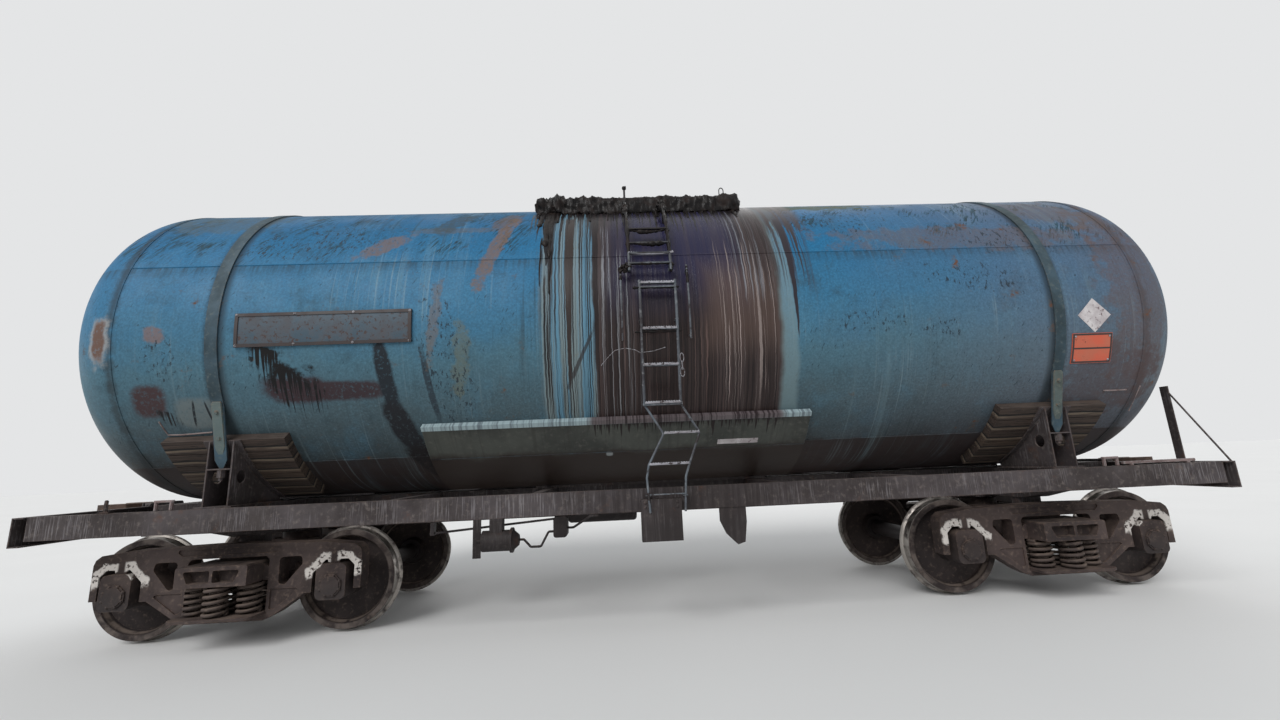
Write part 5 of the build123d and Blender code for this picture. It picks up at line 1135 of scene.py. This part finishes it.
# from, to, degrees, radius
BEADS = [
    (-4.76, 4.76, SIDE_WELD, TANK_RADIUS),
    (-4.76, -4.47, BELLY_WELD, TANK_RADIUS),
    (-3.33, -2.18, BELLY_WELD, TANK_RADIUS),
    (-2.15, 1.49, BELLY_WELD, JACKET_RADIUS),
    (1.53, 3.33, BELLY_WELD, TANK_RADIUS),
    (4.47, 4.76, BELLY_WELD, TANK_RADIUS),
]
form = bmesh.new()
for start, stop, height, radius in BEADS:
    for side in (-1, 1):
        count = int((stop - start) / BEAD_STEP)
        path = [on_tank(start + (stop - start) * k / count, height, radius, side) for k in range(count + 1)]
        tube(form, path, [0.0055 + 0.0012 * (k % 2) for k in range(count + 1)], 6)
piece("weld_beads", form, "tank_paint", "car")

# %% [markdown]
# Tar caked on the platforms is the car's most striking dirt: a lumpy black crust round each platform's
# edge, up to a few centimetres thick. It could be a displaced solid, but a closed band is lighter: a
# cross-section in shape of a lip is swept round the edge, and each of its points is pushed out by noise of
# three sizes. The crust is thinner where the ladder stands and boots have kept it down, and thickest near
# the left corner.

# %% Tar crust
EDGE_LEFT, EDGE_RIGHT, EDGE_OUT, EDGE_IN, CORNER = -1.12, 1.04, 1.0, 0.66, 0.05
BOOTS_HALF, LUMP_PLACE, LUMP_HALF = 0.2, -0.98, 0.2
# out from the edge, height
LIP = [
    (-0.1, 4.27), (-0.09, 4.282), (-0.06, 4.287), (-0.03, 4.287), (-0.005, 4.282), (0.012, 4.268),
    (0.018, 4.245), (0.022, 4.22), (0.025, 4.195), (0.027, 4.17), (0.029, 4.145), (0.03, 4.12),
    (0.028, 4.098), (0.015, 4.088), (-0.012, 4.1), (-0.02, 4.16), (-0.02, 4.23),
]


def corner_path(along, start):
    """Points round a platform's corner, whose edge turns from facing start to facing a quarter turn less."""
    made = []
    for k in range(8):
        turn = start - 90.0 * k / 7
        out, across = CORNER * math.cos(math.radians(turn)), CORNER * math.sin(math.radians(turn))
        made.append((along + out, EDGE_OUT - CORNER + across, turn))
    return made


def edge_path(side, step=0.009):
    """Points round three edges of a platform, each with the direction that points away from it."""
    short = int((EDGE_OUT - EDGE_IN - CORNER) / step)
    long = int((EDGE_RIGHT - EDGE_LEFT - 2 * CORNER) / step)
    places = [(EDGE_LEFT, EDGE_IN + k * step, 180.0) for k in range(short)]
    places += corner_path(EDGE_LEFT + CORNER, 180.0)
    places += [(EDGE_LEFT + CORNER + k * step, EDGE_OUT, 90.0) for k in range(1, long)]
    places += corner_path(EDGE_RIGHT - CORNER, 90.0)
    places += [(EDGE_RIGHT, EDGE_OUT - CORNER - k * step, 0.0) for k in range(1, short)]
    made = []
    for along, across, turn in places:
        away = Vector((math.cos(math.radians(turn)), side * math.sin(math.radians(turn)), 0.0))
        made.append((Vector((along, side * across, 0.0)), away))
    return made


def crust(form, side):
    """The band of tar round one platform."""
    path = edge_path(side)
    rings = []
    for index, (here, away) in enumerate(path):
        whole = min(min(index, len(path) - 1 - index) / 6, 1.0)
        trodden = 1.0 - 0.65 * math.exp(-((here.x / BOOTS_HALF) ** 4)) if abs(here.y) > 0.9 else 1.0
        left_lump = 1.0 + 0.5 * math.exp(-(((here.x - LUMP_PLACE) / LUMP_HALF) ** 2))
        ring = []
        for number, (out, height) in enumerate(LIP):
            base = here + away * out * (0.25 + 0.75 * whole)
            base.z = height
            outward = (away * (out + 0.045) + Vector((0.0, 0.0, (height - 4.2) * 0.9))).normalized()
            large = max(field.noise(base * 6.0 + Vector((3.0, 0.0, side))), -0.25)
            middle = field.noise(base * 19.0)
            small = field.noise(base * 55.0)
            push = (0.006 + 0.026 * large + 0.026 * middle + 0.014 * small) * trodden * left_lump * whole
            inner = 1.0 if 1 < number < 14 else 0.2
            ring.append(form.verts.new(base + outward * push * inner))
        rings.append(ring)
    join_rings(form, rings)


def lump(form, centre, size, stretch, rough):
    """A blob of tar: a ball pushed about by noise."""
    made = bmesh.ops.create_icosphere(form, subdivisions=3, radius=1.0)["verts"]
    for corner in made:
        way = corner.co.copy()
        coarse, small = field.noise(way * 1.6 + centre * 37.0), field.noise(way * 4.0 + centre * 11.0)
        swell = 1.0 + rough * coarse + 0.4 * rough * small
        corner.co = centre + Vector([way[k] * swell * size * stretch[k] for k in range(3)])


form = bmesh.new()
for side in (-1, 1):
    crust(form, side)
piece("tar_crust", form, "platform_tar", "car", smooth_below=60.0)

# %% [markdown]
# From the crust the tar has run down over the tank and set there in ridges: broad ones under the left
# corner, where most was spilled, and many short thin ones along the whole edge. A ridge is a strip across
# which the height rises like a low arch. It starts just under the paint, narrows downwards and ends in a
# bead.

# %% Set runs of tar
tar_dice = random.Random(11)


def ridge(form, along, top, tip, half_width, thick, side, sway):
    """One set run of tar down the tank, from top to tip in degrees."""
    steps = max(int(abs(top - tip) / 0.7), 6)
    rows = []
    for k in range(steps + 1):
        share = k / steps
        height = top + (tip - top) * share
        narrow = (1.0 - share) ** 0.5 * 0.72 + 0.28
        bead = 0.3 * math.exp(-(((share - 0.93) / 0.05) ** 2))
        wobble = 1.0 + 0.3 * field.noise(Vector((along * 9.0, height * 0.35, side)))
        width = half_width * (narrow + bead) * wobble * (1.0 if k < steps else 0.25)
        tall = thick * (0.75 + 0.25 * narrow + bead) * wobble * (1.0 if 0 < k < steps else 0.1)
        shift = sway * field.noise(Vector((along * 3.0, height * 0.12, side + 4.0)))
        row = []
        for j in range(7):
            across = -1.0 + 2.0 * j / 6
            lift = -0.003 + (tall + 0.003) * max(1.0 - across * across, 0.0) ** 0.6
            place = on_tank(along + shift + width * across, height, TANK_RADIUS + lift, side)
            row.append(form.verts.new(place))
        row.append(form.verts.new(on_tank(along + shift, height, TANK_RADIUS - 0.006, side)))
        rows.append(row)
    join_rings(form, rows)


# along, top, tip, half width, thickness
BROAD_RUNS = [
    (-1.06, 54.0, 37.0, 0.045, 0.02),
    (-0.995, 54.0, 25.0, 0.05, 0.018),
    (-0.955, 54.0, 19.5, 0.034, 0.014),
    (-0.905, 53.0, 40.0, 0.03, 0.014),
    (-1.1, 54.0, 45.0, 0.03, 0.022),
    (-1.035, 30.0, 8.0, 0.009, 0.006),
    (-0.94, 22.0, 5.0, 0.014, 0.007),
    (-0.2, 53.0, 45.5, 0.035, 0.03),
    (0.14, 53.0, 44.0, 0.028, 0.026),
    (0.98, 53.0, 44.0, 0.03, 0.016),
    (0.75, 53.0, 48.0, 0.025, 0.014),
]
form = bmesh.new()
for side in (-1, 1):
    for along, top, tip, half_width, thick in BROAD_RUNS:
        ridge(form, along, top, tip, half_width, thick, side, 0.02)
    along = -1.08
    while along < 1.03:
        length = 2.0 + 9.0 * tar_dice.random() ** 2.2
        half_width = 0.006 + 0.012 * tar_dice.random()
        ridge(form, along, 52.6, 51.6 - length, half_width, 0.5 * half_width, side, 0.01)
        along += 0.018 + 0.05 * tar_dice.random()
piece("tar_runs", form, "platform_tar", "car", smooth_below=70.0)

# %% [markdown]
# People climb here with tarry boots, so the upper rungs are sheathed in black, sagging tar, the stiles
# carry lumps, and at the left stile's foot a clot has grown over to the grab rail. A bar of tar is swept
# along a sagging line with a radius that noise changes; lumps are balls pushed about by noise. The ladder's
# plane follows the tank down to a kink, and leans from there to the sill. The post on the platform ends in
# a small knob.

# %% Tar on the ladders
LADDER_RADIUS = 1.72
LEAN_START, LEAN = 1.622, math.tan(math.radians(7.0))
LADDER_DROP = 0.903
LADDER_KINK = -0.21
STILES = (-0.195, 0.19)
STILE_TOP, STILE_TARRED = 1.3, 0.78


def on_ladder(along, height, side, inwards=0.0):
    """A point of the ladder's plane that many metres above the tank's middle line."""
    if height > LADDER_KINK:
        across = math.sqrt(LADDER_RADIUS ** 2 - height ** 2)
    else:
        across = LEAN_START + (height + LADDER_DROP) * LEAN
    return Vector((along, side * (across - inwards), TANK_AXIS + height))


def tarry_bar(form, start, stop, sag, radius, uneven, steps=34):
    """A bar of tar between two points, hanging in the middle, thick and thin by noise."""
    path, radii = [], []
    for k in range(steps + 1):
        share = k / steps
        here = start.lerp(stop, share)
        here.z -= sag * 4 * share * (1 - share)
        swell = uneven * field.noise(here * 15.0) + 0.6 * uneven * field.noise(here * 47.0)
        path.append(here)
        radii.append(radius * max(1.0 + swell, 0.35) * (1.0 if 0 < k < steps else 0.4))
    tube(form, path, radii, 8)


# along from, along to, height, sag, radius, unevenness
TARRY_RUNGS = [
    (-0.19, 0.19, 0.814, 0.028, 0.0125, 1.3),
    (-0.13, 0.15, 0.632, 0.008, 0.021, 0.9),
    (-0.18, 0.19, 0.4, 0.004, 0.0135, 0.6),
    (-0.175, 0.25, 0.15, 0.0, 0.0125, 0.5),
    (-0.17, 0.25, -0.262, 0.0, 0.0105, 0.5),
]
# along, height, size, how tall, roughness
LUMPS = [
    (-0.195, 1.2, 0.034, 1.3, 0.8), (0.19, 1.26, 0.042, 1.0, 0.8), (0.185, 1.19, 0.032, 1.2, 0.8),
    (0.2, 1.13, 0.026, 1.0, 0.9), (-0.2, 1.1, 0.026, 1.3, 0.8), (0.16, 1.21, 0.03, 0.8, 0.9),
    (-0.2, 0.38, 0.028, 1.0, 0.9), (-0.222, 0.36, 0.026, 0.8, 0.9), (-0.252, 0.372, 0.022, 0.9, 0.9),
    (-0.275, 0.34, 0.02, 1.1, 0.8), (-0.235, 0.335, 0.017, 1.4, 0.9), (0.192, 0.35, 0.019, 1.9, 0.7),
    (0.205, 0.39, 0.018, 1.1, 0.7), (-0.195, 0.63, 0.02, 1.2, 0.7), (0.19, 0.8, 0.022, 1.3, 0.7),
]
# along, upper end, lower end, radius, unevenness
RAIL_ENDS = [(0.337, 0.37, 0.19, 0.0125, 0.5), (-0.28, 0.36, 0.24, 0.0135, 0.7)]
POST_PLACE = (-0.195, 1.1, 4.335)
form = bmesh.new()
for side in (-1, 1):
    for left, right, height, sag, radius, uneven in TARRY_RUNGS:
        tarry_bar(form, on_ladder(left, height, side), on_ladder(right, height, side), sag, radius, uneven)
    for along, height, size, tall, rough in LUMPS:
        lump(form, on_ladder(along, height, side, 0.01), size, (1.0, 0.9, tall), rough)
    for stile in STILES:
        points = [on_ladder(stile, STILE_TOP - STILE_TARRED * k / 40, side) for k in range(41)]
        caked = [max(field.noise(here * 13.0 + Vector((0.0, 5.0, 0.0))), 0.0) for here in points]
        tube(form, points, [0.015 + 0.012 * share for share in caked], 8)
    for along, high, low, radius, uneven in RAIL_ENDS:
        ends = on_ladder(along, high, side, 0.02), on_ladder(along, low, side, 0.02)
        tarry_bar(form, *ends, 0.0, radius, uneven)
    lump(form, Vector((POST_PLACE[0], side * POST_PLACE[1], POST_PLACE[2])), 0.02, (1.1, 1.0, 1.2), 0.5)
piece("ladder_tar", form, "platform_tar", "car", smooth_below=70.0)

# %% [markdown]
# The rungs that feet use carry treads: strips of sheet with a toothed edge, so that a boot does not slip.
# Feet keep them bright. A tread is a bar whose outer upper edge goes up and down in teeth; the higher ones
# are bent down in the middle by use. The lowest two follow the crooked rods of the near ladder.

# %% Treads


def tread(form, start, stop, side, depth, thick=0.007, tooth=0.009, sag=0.0):
    """A toothed strip from start to stop; its outer edge has the teeth."""
    count = max(int((stop - start).length / 0.011), 8)
    rings = []
    for k in range(count + 1):
        share = k / count
        here = start.lerp(stop, share)
        here.z -= sag * 4 * share * (1 - share)
        high = tooth if k % 2 else 0.0
        half = depth / 2
        corners = [(half, thick + high), (half, -thick), (half - 0.006, -thick), (-half, -0.2 * thick),
                   (-half, 0.6 * thick + high), (half - 0.006, 0.3 * thick)]
        rings.append([form.verts.new(here + Vector((0.0, side * out, up_by))) for out, up_by in corners])
    join_rings(form, rings)


# along from, along to, height, sag, depth
TREADS = [
    (-0.2, 0.225, 0.518, 0.014, 0.03),
    (-0.1, 0.205, 0.196, 0.0, 0.042),
    (-0.1, 0.205, -0.232, 0.0, 0.042),
    (-0.105, 0.21, -0.556, 0.0, 0.042),
    (-0.105, 0.21, -0.893, 0.0, 0.05),
]
LOW_TREADS = {
    -1: [(0.054, 0.366, 1.68), (-0.09, 0.259, 1.414)],
    1: [(-0.106, 0.211, 1.68), (-0.106, 0.211, 1.414)],
}
form = bmesh.new()
for side in (-1, 1):
    for left, right, height, sag, depth in TREADS:
        tread(form, on_ladder(left, height, side), on_ladder(right, height, side), side, depth, sag=sag)
    for left, right, height in LOW_TREADS[side]:
        tread(form, Vector((left, side * 1.6, height)), Vector((right, side * 1.6, height)), side, 0.036)
piece("treads", form, "tread_steel", "car", smooth_below=30.0)

# %% [markdown]
# Small steel things in wire and rod: the loop handle at the platform's right end, two rings on the near
# ladder's stile, and the thin wires that somebody has bound round it and left on the tank.

# %% Loops and wires


def ring_path(centre, radius, tall, lean, start=0.0, stop=360.0, steps=24):
    """Points of an upright oval loop, its plane turned by lean degrees about the upright."""
    turns = [math.radians(start + (stop - start) * k / steps) for k in range(steps + 1)]
    out = Vector((math.cos(math.radians(lean)), math.sin(math.radians(lean)), 0.0))
    return [centre + out * radius * math.cos(t) + Vector((0.0, 0.0, tall * math.sin(t))) for t in turns]


HANDLE_X, HANDLE_Y, HANDLE_HALF = 0.89, 0.955, 0.024
form = bmesh.new()
for side in (-1, 1):
    across = side * HANDLE_Y
    arch = ring_path(Vector((HANDLE_X, across, 4.365)), HANDLE_HALF, 0.034, 0.0, 0.0, 180.0)
    feet = [Vector((HANDLE_X + way * HANDLE_HALF, across, 4.27)) for way in (1, -1)]
    tube(form, [feet[0], *arch, feet[1]], 0.0055, 8)
piece("loop_handles", form, "ladder_steel", "car", smooth_below=70.0)

form = bmesh.new()
for height, lean in ((-0.5, 30.0), (-0.57, 75.0), (-0.63, 20.0)):
    tube(form, ring_path(on_ladder(0.243, height, -1), 0.021, 0.04, lean), 0.0034, 6)
WIRES = [
    [(-0.484, -18.8), (-0.42, -16.2), (-0.354, -14.0), (-0.26, -13.4), (-0.174, -14.0), (-0.105, -15.3)],
    [(-0.1, -15.0), (0.0, -14.6), (0.106, -13.5)],
]
# how far each point stands off the tank, as a share of 9 cm
WIRE_OFF = (0.0, 0.25, 0.6, 0.8, 0.95, 1.0)
for points in WIRES:
    path = [on_tank(along, height, TANK_RADIUS + 0.012 + 0.09 * off)
            for (along, height), off in zip(points, WIRE_OFF)]
    tube(form, path, 0.0026, 6)
piece("wires", form, "tread_steel", "car", smooth_below=70.0)

# %% [markdown]
# Signs and plates on the tank are thin curved sheets. One function bends a four-cornered sheet onto the
# tank: it blends between the corners, given in metres along and degrees, and lays a front and a back with a
# rim. It makes the rims of the blank number plate, the danger plate's lines, the blank white diamond and a
# small label.

# %% Plates


def skin(form, corners, side, low, high, cells=8):
    """A curved sheet on the tank between four (along, degrees) corners, from low to high over the tank."""
    faces_of = []
    for lift in (high, low):
        rows = []
        for a in range(cells + 1):
            row = []
            for b in range(cells + 1):
                u, v = a / cells, b / cells
                place = [(corners[0][i] * (1 - u) + corners[1][i] * u) * (1 - v)
                         + (corners[3][i] * (1 - u) + corners[2][i] * u) * v for i in range(2)]
                row.append(form.verts.new(on_tank(*place, TANK_RADIUS + lift, side)))
            rows.append(row)
        for first, second in zip(rows, rows[1:]):
            for b in range(cells):
                form.faces.new((first[b], first[b + 1], second[b + 1], second[b]))
        faces_of.append(rows)
    front, back = faces_of
    # the rim, from the front's border to the back's
    for k in range(cells):
        for (a, b), (c, d) in (((0, k), (0, k + 1)), ((cells, k), (cells, k + 1)), ((k, 0), (k + 1, 0)),
                               ((k, cells), (k + 1, cells))):
            form.faces.new((front[a][b], front[c][d], back[c][d], back[a][b]))


def panel(form, left, right, low, high, side, base, top):
    """A curved sheet whose borders are straight along the car and round the tank."""
    skin(form, [(left, low), (right, low), (right, high), (left, high)], side, base, top)


def border(form, left, right, low, high, wide, side, base, top):
    """Four strips along the borders of a plate; wide is their width in metres."""
    rise_by = math.degrees(wide / TANK_RADIUS)
    panel(form, left, right, low, low + rise_by, side, base, top)
    panel(form, left, right, high - rise_by, high, side, base, top)
    panel(form, left, left + wide, low + rise_by, high - rise_by, side, base, top)
    panel(form, right - wide, right, low + rise_by, high - rise_by, side, base, top)


def screw_rows(form, places, heights, lift, size, side):
    """Bolts that face straight out of the tank, at all those places and heights."""
    for along in places:
        for height in heights:
            place = on_tank(along, height, TANK_RADIUS + lift, side)
            bolt(form, place, place - Vector((along, 0.0, TANK_AXIS)), size)


# from and to along the car, lower and upper edge in degrees
NUMBER_PLATE = (-3.7, -2.17, -9.2, 1.5)
HAZARD_PLATE = (4.02, 4.42, -23.9, -13.6)
DIAMOND_PLACE, DIAMOND_HEIGHT, DIAMOND_HALF = 4.25, -7.5, 0.165
RIM_WIDTH, RIM_BASE, RIM_TOP = 0.028, 0.01, 0.0205
LINE_WIDTH, LINE_BASE, LINE_TOP = 0.016, 0.006, 0.0092
rims, black_lines, white, screws = bmesh.new(), bmesh.new(), bmesh.new(), bmesh.new()
for side in (-1, 1):
    left, right, low, high = NUMBER_PLATE
    left, right = (left, right) if side < 0 else (-right, -left)
    border(rims, left, right, low, high, RIM_WIDTH, side, RIM_BASE, RIM_TOP)
    half = RIM_WIDTH / 2
    screwed = (left + half, (left * 2 + right) / 3, (left + right * 2) / 3, right - half)
    screw_rows(screws, screwed, (low + 0.5, high - 0.5), RIM_TOP, 0.0085, side)
    left, right, low, high = HAZARD_PLATE
    left, right = (left, right) if side < 0 else (-right, -left)
    border(black_lines, left + 0.004, right - 0.004, low + 0.15, high - 0.15, LINE_WIDTH, side, LINE_BASE,
           LINE_TOP)
    middle = (low + high) / 2
    panel(black_lines, left + 0.02, right - 0.02, middle - 0.26, middle + 0.26, side, LINE_BASE, LINE_TOP)
    screw_rows(screws, (left + 0.03, right - 0.03), (low + 1.1, high - 1.1), 0.009, 0.0075, side)
    tall, centre = math.degrees(DIAMOND_HALF / TANK_RADIUS), -side * DIAMOND_PLACE
    diamond = [(centre - DIAMOND_HALF, DIAMOND_HEIGHT), (centre, DIAMOND_HEIGHT - tall),
               (centre + DIAMOND_HALF, DIAMOND_HEIGHT), (centre, DIAMOND_HEIGHT + tall)]
    skin(white, diamond, side, -0.001, 0.0024)
panel(white, 0.62, 1.02, -49.6, -47.4, -1, 0.044, 0.0466)
piece("plate_rims", rims, "black_enamel", "car", smooth_below=30.0)
piece("hazard_lines", black_lines, "black_enamel", "car", smooth_below=30.0)
piece("blank_labels", white, "white_enamel", "car", smooth_below=30.0)
piece("plate_screws", screws, "tread_steel", "car")

# %% [markdown]
# At each strap's lower end a clamp plate lies over the strap, held by two bolts, and its narrow tongue goes
# down to the anchor's shelf. Steps, end beams and the manhole's lid have rows of bolt heads, and the lid's
# hinge pin has a nut at each end. They are set by the same function as the covers' bolts.

# %% Clamps and further bolts
CLAMP_TOP, SHELF_Y, SHELF_Z = -26.0, 1.329, 1.66
STEP_BOLT_FACE, END_BEAM_FACE = 1.578, 5.4


def clamp(form, along, side):
    """A chamfered plate over the strap's straight lower end, down to the anchor's shelf."""
    top = on_tank(along, CLAMP_TOP, TANK_RADIUS + 0.014, side)
    foot = Vector((along, side * SHELF_Y, SHELF_Z))
    out = Vector((0.0, side * 0.9, -0.35)).normalized()
    # share of the way down, half width, thickness
    outline = [(0.0, 0.036, 0.002), (0.03, 0.044, 0.012), (0.5, 0.046, 0.013), (0.82, 0.046, 0.013),
               (0.9, 0.036, 0.013), (1.0, 0.018, 0.01)]
    rings = []
    for share, half, thick in outline:
        here = top.lerp(foot, share)
        ring = [(-half, 0.0), (-half + 0.004, thick), (half - 0.004, thick), (half, 0.0)]
        rings.append([form.verts.new(here + Vector((x, 0.0, 0.0)) + out * z) for x, z in ring])
    join_rings(form, rings)
    for share in (0.2, 0.68):
        bolt(form, top.lerp(foot, share) + out * 0.013, out, 0.015)


form = bmesh.new()
for along in (-BOGIE_MIDDLE, BOGIE_MIDDLE):
    for side in (-1, 1):
        clamp(form, along, side)
piece("strap_clamps", form, "clamp_steel", "car", smooth_below=35.0)

form = bmesh.new()
for side in (-1, 1):
    for along in (-0.14, 0.14):
        for height in (1.05, 1.09):
            bolt(form, (along, side * STEP_BOLT_FACE, height), (0, side, 0), 0.01)
    for end in (-1, 1):
        for height in (1.06, 1.16):
            for across in (0.35, 0.5, 1.2, 1.35):
                bolt(form, (end * END_BEAM_FACE, side * across, height), (end, 0, 0), 0.014)
piece("frame_bolts", form, "frame_steel", "car")

LID_TOP, LID_BOLT_CIRCLE = 4.5853, 0.305
HINGE_X, HINGE_Z, HINGE_HALF = 0.405, 4.596, 0.06
form = bmesh.new()
for k in range(16):
    turn = math.radians(22.5 * k + 11.25)
    # the two places beside the lid's handle have no bolt
    if abs(math.degrees(turn) - 180.0) > 20.0:
        across, along = LID_BOLT_CIRCLE * math.sin(turn), LID_BOLT_CIRCLE * math.cos(turn)
        bolt(form, (along, across, LID_TOP), (0, 0, 1), 0.011)
piece("lid_bolts", form, "platform_tar", "manhole_lid")

form = bmesh.new()
for side in (-1, 1):
    bolt(form, (HINGE_X, side * HINGE_HALF, HINGE_Z), (0, side, 0), 0.014)
piece("hinge_nuts", form, "platform_tar", "car")

# %% [markdown]
# Small fittings stand on the sills' tops near the ends: a U-shaped rope bracket at each side, a lug beside
# it, and on the near right a long bar that somebody has laid there. Thin bent rods hang on the round ends'
# lower sides. They are bars and flats swept along short paths.

# %% Fittings on the sills and ends


def block(form, low, high, chamfer=0.006):
    """A flat bar with chamfered edges between two corners."""
    low, high = Vector(low), Vector(high)
    middle, half = (low + high) / 2, (high - low) / 2
    made = bmesh.ops.create_cube(form, size=2.0)["verts"]
    for corner in made:
        corner.co = middle + Vector([corner.co[k] * half[k] for k in range(3)])
    edges = list(dict.fromkeys(edge for corner in made for edge in corner.link_edges))
    bmesh.ops.bevel(form, geom=edges, offset=chamfer, segments=2, affect="EDGES")


SILL_TOP = 1.206
# from along, out and height; to along, out and height
BRACKET = [
    (0.0, 1.415, SILL_TOP, 0.022, 1.445, 1.288),
    (0.126, 1.415, SILL_TOP, 0.148, 1.445, 1.288),
    (-0.01, 1.415, 1.276, 0.158, 1.445, 1.296),
]
LUG = [
    (-4.78, 1.4, SILL_TOP, -4.68, 1.46, 1.222),
    (-4.745, 1.42, 1.215, -4.715, 1.44, 1.318),
]
pale, dark = bmesh.new(), bmesh.new()
for side in (-1, 1):
    for form, rows, places in ((pale, BRACKET, (-4.33, 4.18)), (dark, LUG, (0.0,))):
        for place in places:
            for left, inner, low, right, outer, high in rows:
                across = sorted((side * inner, side * outer))
                block(form, (place + left, across[0], low), (place + right, across[1], high))
block(pale, (4.36, -1.455, 1.222), (5.07, -1.42, 1.248), 0.004)
for left in (4.42, 4.98):
    block(pale, (left, -1.46, SILL_TOP), (left + 0.03, -1.41, 1.226), 0.004)
HUNG_RODS = [
    [(-4.45, -1.362, 1.982), (-4.435, -1.32, 1.92), (-4.42, -1.281, 1.866), (-4.3, -1.283, 1.862),
     (-4.03, -1.288, 1.875)],
    [(4.438, -1.33, 1.93), (4.55, -1.33, 1.928), (4.674, -1.33, 1.93)],
    [(4.808, -1.348, 1.961), (4.815, -1.25, 1.84), (4.821, -1.166, 1.731)],
]
for points in HUNG_RODS:
    tube(pale, [Vector(point) for point in points], 0.0075, 8)
piece("sill_fittings", pale, "worn_fitting", "car", smooth_below=40.0)
piece("sill_lugs", dark, "frame_steel", "car", smooth_below=40.0)
